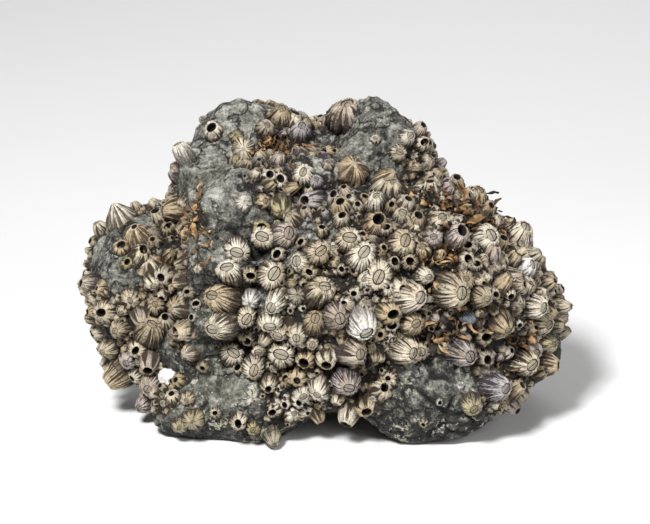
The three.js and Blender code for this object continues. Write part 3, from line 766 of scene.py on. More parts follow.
def joined(name, meshes):
    """One mesh out of several, with their attributes kept."""
    objects = [bpy.data.objects.new(name, mesh) for mesh in meshes]
    for obj in objects:
        bpy.context.scene.collection.objects.link(obj)
    if len(objects) > 1:
        with bpy.context.temp_override(
            active_object=objects[0], selected_objects=objects, selected_editable_objects=objects
        ):
            bpy.ops.object.join()
    mesh = objects[0].data
    bpy.data.objects.remove(objects[0])
    return mesh


def add_piece(name, mesh, slot, *nodes):
    """A finished piece that stands for CAD nodes and rides with the stone."""
    piece = bpy.data.objects.new(name, mesh)
    bpy.context.scene.collection.objects.link(piece)
    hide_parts(*nodes)
    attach(piece, "root")
    return piece


def upright(axis, spin=0.0):
    """A turn that stands +Z along an axis."""
    turn = Vector(axis).to_track_quat("Z", "Y").to_matrix().to_4x4()
    return turn @ Matrix.Rotation(spin, 4, "Z")


def flat_faces(mesh, places):
    """Triangles that lie in one plane, gathered: the plane's normal, a point of it, and its triangles."""
    planes = []
    for triangle in mesh.loop_triangles:
        normal = triangle.normal
        middle = sum((places[v] for v in triangle.vertices), Vector()) / 3
        for axis, point, found in planes:
            if axis.dot(normal) > 0.9995 and abs((middle - point).dot(axis)) < 0.05 * MM:
                found.append(triangle)
                break
        else:
            planes.append((normal.copy(), middle, [triangle]))
    return planes


TALLEST = 1.6  # a wall's height as a share of its base radius; what is below it goes straight down
STAND_UP_STEPS = 8  # how often a shell that is too tall is turned a little more upright on the stone
STAND_UP_SHARE = 0.15  # how much of the stone's own direction each step adds
RIM_BAND = 0.2 * MM  # corners this close below the top belong to the mouth's rim
HOLLOW_DEPTH = 0.5 * MM  # a flat face this far below the rim is the floor of an empty shell
BURIED = 4 * MM  # how far a shell goes on into the stone


def shell_stance(node):
    """Where a CAD shell stands: its foot, its axis, and its base, mouth and height. The mouth or, in an empty
    shell, the hollow's floor is the one flat face whose corners all lie as far from its middle corner. Where
    the wall would be too tall, the shell is stood up on the stone, with its mouth left in place."""
    mesh = merged_copy(node)
    mesh.calc_loop_triangles()
    places = [v.co.copy() for v in mesh.vertices]
    best = None
    for axis, _, found in flat_faces(mesh, places):
        rim = [places[v] for v in {v for t in found for v in t.vertices}]
        middle = sum(rim, Vector()) / len(rim)
        if len(rim) < 6 or axis.dot(middle - STONE_HEART) < 0:
            continue
        centre = min(rim, key=lambda place: (place - middle).length)
        away = np.array([(place - centre).length for place in rim if place is not centre])
        unevenness = away.std() / away.mean()
        if best is None or unevenness < best[0]:
            best = (unevenness, axis, centre)
    _, axis, centre = best
    offsets = np.array(places) - np.array(centre)
    heights = offsets @ np.array(axis)
    from_axis = np.linalg.norm(offsets - np.outer(heights, np.array(axis)), axis=1)
    top = heights.max()
    mouth = from_axis[heights > top - RIM_BAND].max()
    mouth_centre = centre + axis * top
    foot = STONE_SURFACE.ray_cast(mouth_centre, -axis)[0]
    base = from_axis.max()
    seat = STONE_SURFACE.find_nearest(foot)[1]
    for _ in range(STAND_UP_STEPS):
        if (mouth_centre - foot).length < base * TALLEST:
            break
        axis = (axis + seat * STAND_UP_SHARE).normalized()
        foot = STONE_SURFACE.ray_cast(mouth_centre, -axis)[0] or foot
    tall = min((mouth_centre - foot).length, base * TALLEST)
    bpy.data.meshes.remove(mesh)
    return {
        "foot": mouth_centre - axis * tall, "axis": axis, "base": base, "mouth": mouth, "height": tall,
        "root": (mouth_centre - foot).length - tall + BURIED, "empty": top > HOLLOW_DEPTH,
    }


def seen_at(across, up):
    """The point of the weathered stone seen at a place on the front."""
    eye = FRONT_MIDDLE + FRONT_BACK * FRONT_DISTANCE
    aim = FRONT_MIDDLE + FRONT_RIGHT * across * MM + FRONT_UP * (up * MM - FRONT_MIDDLE_UP)
    look = (aim - eye).normalized()
    hit, _, _, _ = STONE_SURFACE.ray_cast(eye, look)
    if hit is None:
        along = (FRONT_MIDDLE - eye).dot(look)
        hit, _, _, _ = STONE_SURFACE.find_nearest(eye + look * along)
    return hit


def facing_at(place, reach=5 * MM):
    """Which way the stone faces round a point, evened out over a few millimetres."""
    total = Vector()
    for hit, normal, _, _ in STONE_SURFACE.find_nearest_range(place, reach):
        total += normal
    return total.normalized()


# ---- The stone ----
STONE_COAT = stone_coat()
SHELL_COAT = shell_coat()
LIMPET_COAT = limpet_coat()
CHIP_COAT = chip_coat()
MUSSEL_COAT = mussel_coat()
WEED_COAT = weed_coat()

BEDS = sorted(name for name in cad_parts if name.startswith("barnacle_bed"))
WEEDS = sorted(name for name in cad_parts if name.startswith("weed"))
GROUNDS = BEDS + WEEDS
BED_FRAY = 1.0 * MM
BED_MARGIN = 2.0 * MM
BED_SEARCH = 9 * MM
BARE = -1
# Places on the front that nothing grows on: across, up and radius in mm
BARE_PLACES = [
    (-108, 92, 14), (-97, 84, 11), (-85, 110, 8), (-110, 50, 9), (-77, 52, 7), (-72, 41, 7), (-61, 50, 7),
    (-58, 31, 9), (-50, 46, 7), (-75, 10, 8), (-62, 20, 6), (-45, 22, 7), (-47, 158, 14), (-50, 135, 9),
    (-52, 118, 8), (19, 160, 12), (8, 152, 6), (0, 147, 5), (-7, 141, 5), (-14, 136, 5), (115, 46, 10),
    (106, 31, 8), (46, 20, 18), (62, 14, 12), (34, 10, 10), (12, 60, 4), (-54, 100, 7), (-52, 78, 5),
]
# Places where weed has dried among the shells: across, up and radius in mm, and how much of them it covers
WEED_PLACES = {
    "weed_in_saddle": [(-18, 143, 8, 0.8), (-27, 146, 5, 0.6), (-15, 136, 3, 0.5), (-33, 141, 4, 0.4)],
    "weed_on_right": [
        (66, 112, 9, 0.9), (76, 106, 10, 0.9), (84, 104, 7, 0.8), (59, 101, 6, 0.9), (60, 92, 6, 0.8),
        (62, 62, 7, 0.7), (72, 67, 6, 0.7), (95, 53, 7, 0.6), (88, 92, 6, 0.5), (54, 118, 9, 0.6),
        (45, 121, 7, 0.5), (84, 62, 5, 0.5), (90, 38, 5, 0.5), (57, 78, 6, 0.7), (49, 90, 6, 0.8),
        (55, 56, 6, 0.7),
    ],
    "weed_on_left": [
        (-62, 104, 8, 0.6), (-57, 93, 5, 0.5), (-77, 87, 7, 0.5), (-72, 76, 5, 0.3), (-96, 66, 6, 0.3),
        (-60, 121, 6, 0.3), (-8, 40, 7, 0.4), (-6, 82, 7, 0.25),
    ],
}
FLAT_STONE = {"Bulge_Depth": 0.0, "Knob_Depth": 0.0, "Crack_Depth": 0.0, "Pit_Depth": 0.0}
STONE_TREE = stone_tree()


def filled_out(plain):
    """A copy of a mesh that, once rounded off, passes through the corners of the mesh."""
    wanted = corners(plain)
    cage = wanted.copy()
    for _ in range(3):
        trial = plain.copy()
        trial.vertices.foreach_set("co", cage.ravel())
        rounded = corners(STONE_TREE.grow("Trial", trial, Levels=2, **FLAT_STONE))[: len(wanted)]
        cage += wanted - rounded
    plain.vertices.foreach_set("co", cage.ravel())
    return plain


stone_mesh = STONE_TREE.grow("stone", filled_out(merged_copy(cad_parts["stone"])), Material=STONE_COAT)
STONE_SURFACE = surface(stone_mesh)


def mark_grounds(mesh):
    """Gives each face of the stone the number of the bed or weed that covers it, or none where it is bare."""
    covers = [surface(merged_copy(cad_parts[name])) for name in GROUNDS]
    rng = np.random.default_rng(SEED)
    fray = rng.normal(0, BED_FRAY, len(mesh.polygons))
    bare = [(seen_at(across, up), wide * MM) for across, up, wide in BARE_PLACES]
    weedy = [
        (seen_at(across, up), wide * MM, share, GROUNDS.index(name))
        for name, places in WEED_PLACES.items() for across, up, wide, share in places
    ]
    chances = rng.random(len(mesh.polygons))
    number = np.full(len(mesh.polygons), BARE, np.int32)
    # Corners under a bed are marked 1 here; the stone coat colours them as dark soil with painted shade
    # between the shells
    dirt_and_painted_shade = np.zeros(len(mesh.vertices), np.float32)
    for face in mesh.polygons:
        found = [cover.find_nearest(face.center, BED_SEARCH)[3] for cover in covers]
        distances = [BED_SEARCH if distance is None else distance for distance in found]
        nearest = int(np.argmin(distances))
        on_bare = any((face.center - place).length < reach + fray[face.index] for place, reach in bare)
        if distances[nearest] < BED_MARGIN + fray[face.index] and not on_bare:
            number[face.index] = nearest
            dirt_and_painted_shade[list(face.vertices)] = 1
        for place, reach, share, weed in weedy:
            if chances[face.index] < share and (face.center - place).length < reach + fray[face.index]:
                number[face.index] = weed
    mesh.attributes.new("bed", "INT", "FACE").data.foreach_set("value", number)
    mesh.attributes.new("dirt_and_painted_shade", "FLOAT", "POINT").data.foreach_set("value", dirt_and_painted_shade)


mark_grounds(stone_mesh)
add_piece("stone_weathered", stone_mesh, "stone", "stone")

# ---- The large shells, one for each CAD shell ----
BARNACLE_TREE = barnacle_tree()
LARGE_LOOKS = {
    # shell: tint, stripe, dome, ribs, rib depth
    1: (0.08, 0.1, 1.3, 26, 0.1),
    2: (0.12, 0.2, 1.05, 16, 0.05),
    3: (0.66, 0.8, 1.2, 30, 0.03),
    4: (0.15, 0.3, 1.3, 20, 0.06),
    5: (0.34, 0.6, 1.25, 30, 0.05),
    6: (0.05, 0.1, 1.1, 12, 0.04),
    7: (0.14, 0.2, 1.3, 22, 0.06),
    8: (0.42, 0.9, 1.2, 24, 0.07),
    9: (0.04, 0.1, 1.4, 18, 0.05),
    10: (0.3, 0.7, 1.15, 22, 0.14),
    11: (0.1, 0.8, 1.2, 16, 0.09),
    12: (0.28, 0.5, 1.3, 18, 0.07),
    13: (0.03, 0.1, 1.4, 16, 0.05),
    14: (0.4, 0.6, 1.5, 20, 0.05),
    15: (0.68, 0.7, 1.45, 22, 0.06),
    16: (0.2, 0.3, 1.4, 20, 0.08),
    17: (0.16, 0.2, 1.35, 28, 0.1),
    18: (0.2, 0.3, 1.4, 18, 0.08),
    19: (0.22, 0.6, 1.2, 22, 0.07),
    20: (0.06, 0.2, 1.2, 18, 0.05),
    21: (0.98, 0.25, 1.35, 22, 0.07),
    22: (0.62, 0.4, 1.4, 26, 0.07),
    23: (0.44, 0.8, 1.35, 24, 0.07),
    24: (0.36, 0.8, 1.05, 18, 0.07),
    25: (0.24, 0.3, 1.1, 22, 0.05),
    26: (0.1, 0.5, 1.4, 20, 0.07),
    27: (0.26, 0.7, 1.2, 22, 0.07),
    28: (0.08, 0.3, 1.2, 20, 0.06),
    29: (0.68, 0.2, 1.2, 18, 0.04),
    30: (0.06, 0.2, 1.2, 16, 0.05),
    31: (0.26, 0.8, 1.35, 28, 0.09),
    32: (0.76, 0.7, 1.4, 26, 0.11),
    33: (0.3, 0.5, 1.35, 18, 0.08),
    34: (0.8, 0.6, 1.45, 28, 0.09),
    35: (0.74, 0.7, 1.55, 30, 0.11),
    36: (0.4, 0.6, 1.4, 20, 0.1),
    37: (0.38, 0.9, 1.3, 26, 0.1),
    38: (0.96, 0.3, 1.2, 16, 0.06),
    39: (0.62, 0.8, 1.4, 18, 0.1),
    40: (0.2, 0.8, 1.4, 22, 0.11),
}
# Width and height of the shells that differ from their CAD solids, as shares of the solids' own
GIRTHS = {38: (0.75, 0.75), 39: (1.25, 0.72)}
LARGE_SIDES = 112
MORE_RIBS = 1.25
DEEPER_RIBS = 1.3
WIDER_MOUTH = 1.12


def grow_shell(name, stance, tint, stripe, spin=0.0, material=None, **sizes):
    """A shell standing where it is told."""
    mesh = BARNACLE_TREE.grow(name, Material=material or SHELL_COAT, **sizes)
    mesh.transform(Matrix.Translation(stance["foot"]) @ upright(stance["axis"], spin))
    number_attribute(mesh, "tint", tint)
    number_attribute(mesh, "stripe", stripe)
    return mesh


def large_barnacles():
    """The barnacles that have a CAD solid of their own."""
    rng = random.Random(SEED)
    stances = []
    for number, (tint, stripe, dome, ribs, rib_depth) in LARGE_LOOKS.items():
        node = f"barnacle_{number:02d}"
        stance = shell_stance(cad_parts[node])
        wider, taller = GIRTHS.get(number, (1.0, 1.0))
        mesh = grow_shell(
            f"{node}_shell", stance, tint, stripe, rng.uniform(0, math.tau),
            Base_Radius=stance["base"] * wider, Height=stance["height"] * taller,
            Mouth_Radius=stance["mouth"] * WIDER_MOUTH * wider, Mouth_Oval=rng.uniform(1.08, 1.26), Dome=dome,
            Ribs=int(ribs * MORE_RIBS), Rib_Depth=rib_depth * DEEPER_RIBS, Around=LARGE_SIDES,
            Ragged_Rim=rng.uniform(0.05, 0.14), Closed=0.0 if stance["empty"] else 1.0,
            Seed=float(number), Root=stance["root"],
        )
        add_piece(f"{node}_shell", mesh, "barnacle_shell", node)
        stances.append(stance)
    return stances


LIMPET_LOOKS = {
    # limpet: tint, ribs, rib depth, dome, closed
    "limpet_on_left_shoulder": (0.04, 26, 0.09, 1.7, 1.0),
    "keyhole_limpet": (0.46, 40, 0.03, 1.5, 0.0),
    "limpet_under_crest_left": (0.46, 34, 0.1, 1.5, 1.0),
    "limpet_under_crest_right": (0.44, 28, 0.12, 1.5, 1.0),
    "pink_limpet": (0.6, 24, 0.07, 1.1, 1.0),
    "tan_limpet": (0.3, 40, 0.04, 1.3, 1.0),
}


def limpets():
    stances = []
    for number, (node, (tint, ribs, rib_depth, dome, closed)) in enumerate(LIMPET_LOOKS.items()):
        stance = shell_stance(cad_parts[node])
        mesh = grow_shell(
            f"{node}_shell", stance, tint, 1.0, number * 1.1, LIMPET_COAT,
            Base_Radius=stance["base"], Height=stance["height"], Mouth_Radius=stance["mouth"] * 0.8,
            Mouth_Oval=1.12, Dome=dome, Ribs=ribs, Rib_Depth=rib_depth, Ragged_Rim=0.0, Skew=0.14,
            Closed=closed, Seed=50.0 + number, Root=stance["root"],
        )
        add_piece(f"{node}_shell", mesh, "limpet_shell", node)
        stances.append(stance)
    return stances


large_stances = large_barnacles() + limpets()

# ---- Companions: shells of middling size on the front, joined to the bed that they stand in ----
# across, up and width in mm, height and mouth as shares of the width, turned from the viewer to the right and
# up in degrees, tint, and whether it is closed
COMPANIONS = [
    # round the large shells on the left of the front
    (-21.4, 93, 7.5, 0.8, 0.55, 0, 0, 0.2, 0), (-35.8, 83.6, 8, 0.75, 0.5, 0, 0, 0.36, 0),
    (-10.4, 98.2, 6.2, 0.8, 0.5, 0, 10, 0.3, 0), (-6.5, 84.7, 8, 0.8, 0.42, 0, 0, 0.35, 0),
    (-29.7, 104.8, 9.5, 0.6, 0.45, 0, 25, 0.9, 0), (9.4, 114.5, 10.5, 0.85, 0.4, -8, 20, 0.42, 0),
    (8.5, 108.7, 8.5, 0.8, 0.45, 10, 25, 0.3, 0), (-0.2, 103.4, 6.5, 1, 0.45, 0, 25, 0.35, 0),
    (16.7, 115, 6, 0.9, 0.5, 0, 20, 0.3, 0), (-30.5, 46.7, 8.2, 0.7, 0.45, 0, 0, 0.2, 1),
    (-5.6, 50.7, 6.7, 0.7, 0.5, 5, 0, 0.3, 1), (-12.8, 55, 10, 0.8, 0.42, 5, -12, 0.22, 1),
    (-21, 56.2, 9, 0.9, 0.5, 2, -12, 0.25, 1), (-36.5, 53, 7.5, 0.7, 0.5, 0, 0, 0.3, 0),
    (-35, 71.5, 10, 0.6, 0.14, 0, -30, 0.98, 1), (-12.8, 73.4, 9.5, 0.6, 0.14, 10, 10, 0.85, 1),
    (-15.7, 66.2, 4, 0.8, 0.5, 0, 0, 0.3, 0), (-26.3, 31, 8.5, 0.8, 0.4, 0, -40, 0.3, 0),
    (-20, 79.7, 4.5, 0.9, 0.5, 0, 0, 0.3, 0), (-40.8, 38.6, 6.5, 0.6, 0.5, -10, -5, 0.35, 0),
    (-9.4, 26.6, 9, 0.7, 0.4, 0, -15, 0.15, 1), (-1.7, 29.5, 12, 0.9, 0.3, -5, -20, 0.1, 1),
    # round the large shells on the right of the front
    (25.2, 115.9, 9.5, 0.9, 0.4, 0, 35, 0.04, 1), (30.4, 104.5, 7, 1.1, 0.5, 0, 5, 0.2, 0),
    (45.2, 107.7, 9, 0.8, 0.5, 5, 35, 0.5, 0), (37.6, 110.3, 9.5, 0.8, 0.45, 5, 15, 0.3, 1),
    (32.8, 115.1, 7.5, 0.8, 0.4, 0, 10, 0.45, 0), (52.8, 100.7, 10, 0.8, 0.35, 0, 0, 0.7, 1),
    (41.4, 89.6, 8.5, 0.9, 0.5, 0, 5, 0.5, 0), (33.9, 88.6, 6.5, 1.5, 0.6, 0, 10, 0.3, 0),
    (47.3, 83.4, 10, 0.8, 0.35, 35, -10, 0.2, 1), (30.7, 65.5, 12.5, 0.75, 0.42, 20, 5, 0.45, 0),
    (41.8, 60.4, 12.5, 0.65, 0.4, 25, 10, 0.5, 1), (46, 47.2, 10.5, 0.75, 0.42, 10, 0, 0.26, 1),
    (26, 60, 6, 0.7, 0.3, 0, 0, 0.2, 1), (30.7, 76.5, 8, 0.6, 0.3, 0, 20, 0.1, 0),
    (21.4, 76.5, 5, 0.8, 0.45, 0, 0, 0.35, 0), (22.5, 48.6, 6, 0.7, 0.4, 20, 0, 0.3, 1),
    (29.4, 96.2, 5.5, 0.6, 0.5, 0, 0, 0.4, 0), (9, 86.2, 5.5, 0.7, 0.5, 0, 0, 0.3, 0),
    (77.4, 54.6, 9.5, 0.5, 0.5, 10, 0, 0.28, 0), (77.8, 43.2, 9.5, 0.6, 0.45, 10, -10, 0.66, 0),
    (73.2, 45.4, 6.5, 0.6, 0.45, 0, 0, 0.5, 0), (71.4, 21.3, 11, 0.6, 0.4, 10, -25, 0.88, 1),
    # the right slope and the right end
    (94.8, 84.9, 11.5, 0.8, 0.4, 35, 15, 1.0, 1), (83.4, 97.6, 9.5, 0.8, 0.4, 20, 20, 0.45, 0),
    (69.5, 90.4, 9, 0.5, 0.5, 0, 0, 0.15, 0), (73.2, 88.5, 7, 0.5, 0.5, 5, 0, 0.15, 0),
    (76.7, 90.8, 6, 0.5, 0.5, 10, 0, 0.15, 0), (94, 96, 10, 0.8, 0.3, 30, 10, 0.62, 1),
    (102.7, 95, 8.5, 1.1, 0.35, 60, 5, 0.2, 1), (75.5, 73.4, 10.5, 0.8, 0.32, 30, -5, 0.3, 1),
    (84.2, 62.1, 12.5, 0.85, 0.3, 25, -30, 0.5, 1), (82.4, 74.2, 6, 0.7, 0.5, 0, 0, 0.3, 0),
    (97, 78, 10, 0.5, 0.3, 30, 0, 0.28, 1), (103.4, 60, 12, 0.7, 0.4, 30, -5, 0.24, 1),
    (106.5, 50, 11, 0.6, 0.3, 40, -5, 0.88, 1), (112, 68, 9.5, 0.9, 0.3, 50, 0, 0.3, 1),
    (109, 79.5, 8.5, 0.9, 0.35, 60, 20, 0.5, 0), (68.3, 81.1, 10, 0.5, 0.3, 10, 10, 0.5, 1),
    (88.6, 112, 8, 0.7, 0.4, 20, 30, 0.1, 1), (72.9, 118.8, 12, 0.7, 0.4, 0, 30, 0.45, 1),
    (65.3, 128.5, 10, 0.8, 0.4, 0, 30, 0.6, 0), (75, 127, 9, 0.7, 0.4, 0, 30, 0.1, 0),
    # the left end
    (-81.9, 102.9, 8, 0.6, 0.14, 0, 20, 0.62, 1), (-94.4, 88.9, 7, 0.5, 0.45, 0, 10, 0.9, 0),
    (-97.3, 96.1, 9, 0.35, 0.5, 0, 30, 0.45, 0), (-115.7, 79.7, 9, 0.7, 0.4, -50, 0, 0.6, 0),
    (-114.2, 67.1, 7, 0.7, 0.4, -50, 0, 0.45, 0), (-104.6, 65.2, 12, 0.6, 0.4, -10, 10, 0.3, 0),
    (-80.9, 68.1, 9, 0.9, 0.35, 0, 20, 0.4, 1), (-70.3, 68.1, 12, 0.6, 0.16, -10, 0, 0.45, 1),
    (-64.5, 74.9, 6.5, 0.8, 0.4, 5, 10, 0.6, 0), (-61.1, 69.1, 5.5, 0.6, 0.6, 0, 10, 0.1, 0),
    (-63, 62.8, 4.5, 0.6, 0.6, 0, 10, 0.2, 0), (-97.8, 57.5, 10.5, 0.8, 0.3, -10, 0, 0.35, 1),
    (-89.6, 47.8, 10, 0.6, 0.4, 0, -5, 0.3, 0), (-102.2, 47.8, 10.5, 0.8, 0.3, -20, -5, 0.36, 1),
    (-93.5, 43, 10, 0.7, 0.35, 0, -15, 0.72, 1), (-81.9, 31.4, 13, 0.75, 0.35, -5, -20, 0.66, 1),
    (-65.4, 23.7, 7.5, 0.7, 0.35, 0, -20, 0.35, 1), (-63, 14, 10.5, 0.6, 0.15, 0, -10, 0.88, 1),
    (-41.3, 13, 9.5, 0.6, 0.42, 5, -5, 0.2, 0), (-58.2, 39.1, 6, 0.6, 0.4, 0, -10, 0.88, 0),
    (-68.3, 87.4, 8, 0.5, 0.4, 0, 10, 0.45, 0), (-60.6, 86.5, 4.5, 0.6, 0.3, 0, 0, 0.1, 1),
    (-25, 7, 9.5, 0.9, 0.3, 5, -35, 0.86, 1), (-34, 10, 7.5, 0.6, 0.4, 0, -15, 0.9, 1),
    (-69, 11, 8, 0.6, 0.3, -5, -10, 0.88, 1), (-52, 17, 6, 0.6, 0.4, 0, 0, 0.3, 0),
    (-86, 22, 10, 0.7, 0.35, -10, -15, 0.72, 1), (56, 22, 4, 0.6, 0.5, 0, 0, 0.02, 0),
    (48, 12, 5, 0.6, 0.4, 0, -10, 0.3, 0), (66, 30, 4.5, 0.6, 0.4, 0, 0, 1.0, 1),
    # the crest and the saddle
    (-38.4, 118.3, 8.5, 0.45, 0.12, 0, 15, 0.97, 1), (-52.9, 152.1, 10, 0.6, 0.5, 0, 20, 0.15, 0),
    (-28.5, 153.6, 9, 0.7, 0.35, 10, 15, 0.6, 1), (-21, 158.9, 11.5, 0.75, 0.35, 0, 30, 0.5, 1),
    (-8, 159.6, 10.6, 0.7, 0.4, 0, 30, 0.8, 1), (-42.3, 149.7, 7, 0.5, 0.2, 0, 20, 0.9, 1),
    (-27, 129.5, 8.5, 0.6, 0.5, 0, 20, 0.06, 0), (-21.5, 128, 8.5, 0.6, 0.5, 0, 15, 0.06, 0),
    (-9.4, 130.6, 11, 0.7, 0.4, 0, 20, 0.1, 1), (-3.4, 127.5, 8, 0.8, 0.35, 0, 20, 0.78, 1),
    (2, 136, 6, 0.6, 0.3, 0, 30, 0.6, 1), (40, 149, 8.5, 0.7, 0.45, 10, 15, 0.06, 1),
    (46, 146, 8.5, 0.7, 0.5, 10, 10, 0.2, 0), (35.5, 142, 9, 0.75, 0.4, 0, 5, 0.3, 1),
    (25, 148.3, 5.5, 0.7, 0.4, -5, 10, 0.1, 1), (47.6, 153.6, 8, 0.7, 0.4, 20, 30, 0.6, 0),
    (53.9, 147.3, 7, 0.7, 0.4, 25, 10, 0.4, 0),
]


VIEWER_PULL = 2  # how much more a companion points at the viewer than straight away from the stone


def towards_viewer(right, up):
    """The way to the viewer, turned to the right and up."""
    right = math.radians(right)
    up = math.radians(up)
    level = FRONT_BACK * (math.cos(right) * math.cos(up)) + FRONT_RIGHT * (math.sin(right) * math.cos(up))
    return level + FRONT_UP * math.sin(up)


def companions():
    """Meshes of the companions and where they stand."""
    grown = []
    rng = random.Random(SEED + 1)
    for number, (across, up, wide, tall, mouth, right, lift, tint, closed) in enumerate(COMPANIONS):
        foot = seen_at(across, up)
        axis = (towards_viewer(right, lift) * VIEWER_PULL + facing_at(foot)).normalized()
        stance = {"foot": foot, "axis": axis, "base": wide / 2 * MM}
        mesh = grow_shell(
            f"companion_{number}", stance, tint, rng.uniform(0.1, 0.8), rng.uniform(0, math.tau),
            Base_Radius=wide / 2 * MM, Height=tall * wide * MM, Mouth_Radius=mouth * wide / 2 * MM,
            Mouth_Oval=rng.uniform(1.05, 1.2), Dome=rng.uniform(1.15, 1.5), Ribs=rng.randint(14, 26),
            Rib_Depth=rng.uniform(0.06, 0.14), Ragged_Rim=rng.uniform(0.04, 0.16), Closed=float(closed),
            Seed=70.0 + number, Root=3 * MM, Around=48, Wall_Rings=9, Lid_Rings=4,
        )
        grown.append((mesh, stance))
    return grown


COMPANION_SHELLS = companions()

# ---- Colonies: the shells between ----
COLONY_TREE = colony_tree()


def collected(name, meshes):
    """A collection that holds meshes for a colony to pick from."""
    collection = bpy.data.collections.new(name)
    for number, mesh in enumerate(meshes):
        collection.objects.link(bpy.data.objects.new(f"{name} {number:02d}", mesh))
    return collection


def shell_kinds(name, count, around, wall_rings, lid_rings, seed):
    """Different shells, each with a base radius of 1."""
    rng = random.Random(seed)
    meshes = []
    for number in range(count):
        closed = 1.0 if number % 5 in (0, 3) else 0.0
        mouth = rng.uniform(0.34, 0.44) if closed else rng.uniform(0.38, 0.54)
        mesh = BARNACLE_TREE.grow(
            name, Material=SHELL_COAT, Base_Radius=1.0, Height=rng.uniform(1.1, 1.8),
            Mouth_Radius=mouth, Mouth_Oval=rng.uniform(1.0, 1.25), Dome=rng.uniform(1.1, 1.8),
            Ribs=max(5, int(around * rng.uniform(0.22, 0.33))), Rib_Depth=rng.uniform(0.12, 0.26),
            Ragged_Rim=rng.uniform(0.05, 0.2), Skew=rng.uniform(0, 0.2), Closed=closed,
            Seed=float(seed + number), Root=0.5, Around=around, Wall_Rings=wall_rings, Lid_Rings=lid_rings,
        )
        meshes.append(mesh)
    return collected(name, meshes)


def crumb_kinds():
    tree = crumb_tree()
    flatness = [0.35, 0.5, 0.7, 0.9, 0.45, 0.6]
    return collected("Crumb", [
        tree.grow("Crumb", Seed=number * 3.7, Flatness=flat, Material=SHELL_COAT)
        for number, flat in enumerate(flatness)
    ])


def flake_kinds():
    tree = flake_tree()
    rng = random.Random(SEED + 5)
    return collected("Weed Flake", [
        tree.grow(
            "Weed Flake", Material=WEED_COAT, Width=rng.uniform(0.2, 1.3), Curl=rng.uniform(0.6, 4.2),
            Thickness=0.045, Twist=rng.uniform(-1.4, 1.4), Wave=rng.uniform(0.4, 0.9),
            Length=rng.uniform(1.4, 3.0), Seed=float(number),
        )
        for number in range(10)
    ])


def room_mesh(name, places, reaches):
    """Points with the room that each needs, for colonies to keep clear of."""
    mesh = bpy.data.meshes.new(name)
    mesh.from_pydata(places, [], [])
    layer = mesh.attributes.new("reach", "FLOAT", "POINT")
    layer.data.foreach_set("value", np.array(reaches, np.float32))
    obj = bpy.data.objects.new(name, mesh)
    bpy.context.scene.collection.objects.link(obj)
    return obj


MIDDLING = shell_kinds("Middling Shell", 14, 24, 5, 1, 200)
SMALL = shell_kinds("Small Shell", 14, 11, 2, 1, 300)
CRUMBS = crumb_kinds()
FLAKES = flake_kinds()
COLONIES = [
    # shells, kinds, spacing, smallest and largest radius in mm, lean, sink, overlap, own room, fill
    (MIDDLING, 14, 6.2, 3.2, 5.6, 0.45, 0.1, 0.7, 0.5, 1.0),
    (SMALL, 14, 3.4, 1.7, 3.2, 0.6, 0.1, 0.62, 0.3, 1.0),
    (CRUMBS, 6, 2.0, 0.6, 1.6, 1.0, -0.1, 0.5, 0.0, 1.0),
]
BED_TINTS = {
    "barnacle_bed_left_end": (0.2, 0.62),
    "barnacle_bed_front_left": (0.0, 0.5),
    "barnacle_bed_front_right": (0.05, 0.7),
    "barnacle_bed_right_slope": (0.1, 0.75),
    "barnacle_bed_saddle": (0.2, 0.92),
    "barnacle_bed_back_left": (0.1, 0.7),
    "barnacle_bed_back_right": (0.05, 0.65),
}


def grow_colonies():
    """Layers of smaller shells over every bed. Each layer keeps clear of the large shells and the companions,
    but the layers overlap each other."""
    beds = [[] for _ in BEDS]
    stances = large_stances + [stance for _, stance in COMPANION_SHELLS]
    room = room_mesh("Room", [s["foot"] for s in stances], [s["base"] for s in stances])
    for layer, colony in enumerate(COLONIES):
        shells, kinds, spacing, smallest, largest, lean, sink, overlap, own, fill = colony
        for bed, name in enumerate(BEDS):
            made = COLONY_TREE.grow(
                f"Colony {layer} {bed}", stone_mesh.copy(), Bed=bed, Shells=shells, Kinds=kinds,
                Spacing=spacing * MM, Smallest=smallest * MM, Largest=largest * MM, Lean=lean, Sink=sink,
                Overlap=overlap, Own_Room=own, Fill=fill, Tint_Low=BED_TINTS[name][0],
                Tint_High=BED_TINTS[name][1], Seed=SEED + 20 * layer, Neighbours=room, Material=SHELL_COAT,
            )
            beds[bed].append(made)
    bpy.data.objects.remove(room)
    return beds


colonies = grow_colonies()


def nearest_bed_of(place):
    distances = [BED_SURFACES[i].find_nearest(place)[3] for i in range(len(BEDS))]
    return int(np.argmin(distances))


BED_SURFACES = [surface(merged_copy(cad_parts[name])) for name in BEDS]
for mesh, stance in COMPANION_SHELLS:
    colonies[nearest_bed_of(stance["foot"])].append(mesh)
for name, meshes in zip(BEDS, colonies):
    kept = [mesh for mesh in meshes if len(mesh.polygons)]
    add_piece(f"{name}_shells", joined(f"{name}_shells", kept), "barnacle_shell", name)

# ---- Dried weed ----
WEED_LOOKS = {
    # weed: spacing, smallest and largest size in mm, lowest and highest tint
    "weed_in_saddle": (1.4, 1.4, 3.2, 0.25, 0.8),
    "weed_on_right": (1.5, 1.6, 4.4, 0.0, 0.85),
    "weed_on_left": (1.6, 1.4, 3.2, 0.2, 1.0),
}


def grow_weed():
    nothing = room_mesh("No Room", [Vector((0, 0, -1))], [0.0])
    for name, (spacing, smallest, largest, tint_low, tint_high) in WEED_LOOKS.items():
        inputs = {
            "Bed": GROUNDS.index(name), "Shells": FLAKES, "Kinds": 10, "Spacing": spacing * MM,
            "Smallest": smallest * MM, "Largest": largest * MM, "Lean": 1.3, "Sink": -0.2, "Seed": SEED + 90,
            "Tint Low": tint_low, "Tint High": tint_high, "Neighbours": nothing, "Material": WEED_COAT,
        }
        add_piece(f"{name}_flakes", COLONY_TREE.grow(name, stone_mesh.copy(), **inputs), "dried_weed", name)
    bpy.data.objects.remove(nothing)


grow_weed()

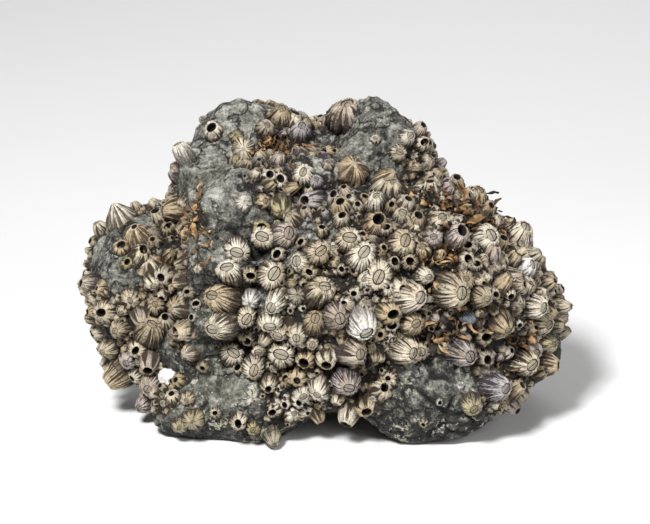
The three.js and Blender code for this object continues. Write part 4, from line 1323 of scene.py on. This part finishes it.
# ---- Chips and the mussel ----
CHIP_TREE = chip_tree()
for name, coat, lumps, swell in (
    ("white_shell_chip", CHIP_COAT, 1.8, 1.9), ("bright_shell_chip", CHIP_COAT, 2.2, 2.0),
    ("blue_mussel", MUSSEL_COAT, 0.5, 0.8),
):
    slot = "mussel" if coat is MUSSEL_COAT else "shell_chip"
    chip = CHIP_TREE.grow(
        name, merged_copy(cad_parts[name]), Lump_Depth=lumps * MM, Swell=swell * MM, Material=coat,
    )
    add_piece(f"{name}_worn", chip, slot, name)

# ---- Floor, light and camera ----
VIEW_WIDTH = 314 * MM  # what the camera takes in at the object's middle
FLOOR_WIDTH = 6.0
WORLD_LIGHT = 0.13
AIM = FRONT_MIDDLE + FRONT_RIGHT * 0.7 * MM + FRONT_UP * 7.8 * MM


def pale_floor():
    mesh = bpy.data.meshes.new("floor")
    half = FLOOR_WIDTH / 2
    edge = [(-half, -half, 0), (half, -half, 0), (half, half, 0), (-half, half, 0)]
    mesh.from_pydata(edge, [], [(0, 1, 2, 3)])
    coat = Coat("Pale Floor", 0.9)
    cloud = coat.noise(coat.place, 3, 2)
    mesh.materials.append(coat.finish(coat.mix(coat.clamped(cloud), (0.78, 0.78, 0.78), (0.75, 0.75, 0.75))))
    floor = bpy.data.objects.new("floor", mesh)
    bpy.context.scene.collection.objects.link(floor)


def soft_light(name, place, size, power):
    lamp = bpy.data.lights.new(name, "AREA")
    lamp.energy = power
    lamp.size = size
    obj = bpy.data.objects.new(name, lamp)
    obj.location = place
    obj.rotation_euler = (FRONT_MIDDLE - Vector(place)).to_track_quat("-Z", "Y").to_euler()
    bpy.context.scene.collection.objects.link(obj)


def light_and_camera():
    world = bpy.data.worlds.new("Studio")
    world.use_nodes = True
    world.node_tree.nodes["Background"].inputs["Color"].default_value = (1, 1, 1, 1)
    world.node_tree.nodes["Background"].inputs["Strength"].default_value = WORLD_LIGHT
    scene = bpy.context.scene
    scene.world = world
    soft_light("key", (-0.35, -0.8, 1.05), 0.28, 27)
    soft_light("fill", (0.9, -0.8, 0.6), 0.8, 7)
    soft_light("back", (0.2, 1.0, 0.9), 0.7, 5)
    scene.view_settings.view_transform = "Standard"
    camera = bpy.data.cameras.new("camera")
    camera.sensor_width = 36
    camera.lens = camera.sensor_width * FRONT_DISTANCE / VIEW_WIDTH
    camera.clip_start = 0.05
    obj = bpy.data.objects.new("camera", camera)
    obj.location = AIM + FRONT_BACK * FRONT_DISTANCE
    obj.rotation_euler = FRONT_BACK.to_track_quat("Z", "Y").to_euler()
    scene.collection.objects.link(obj)
    scene.camera = obj


pale_floor()
light_and_camera()
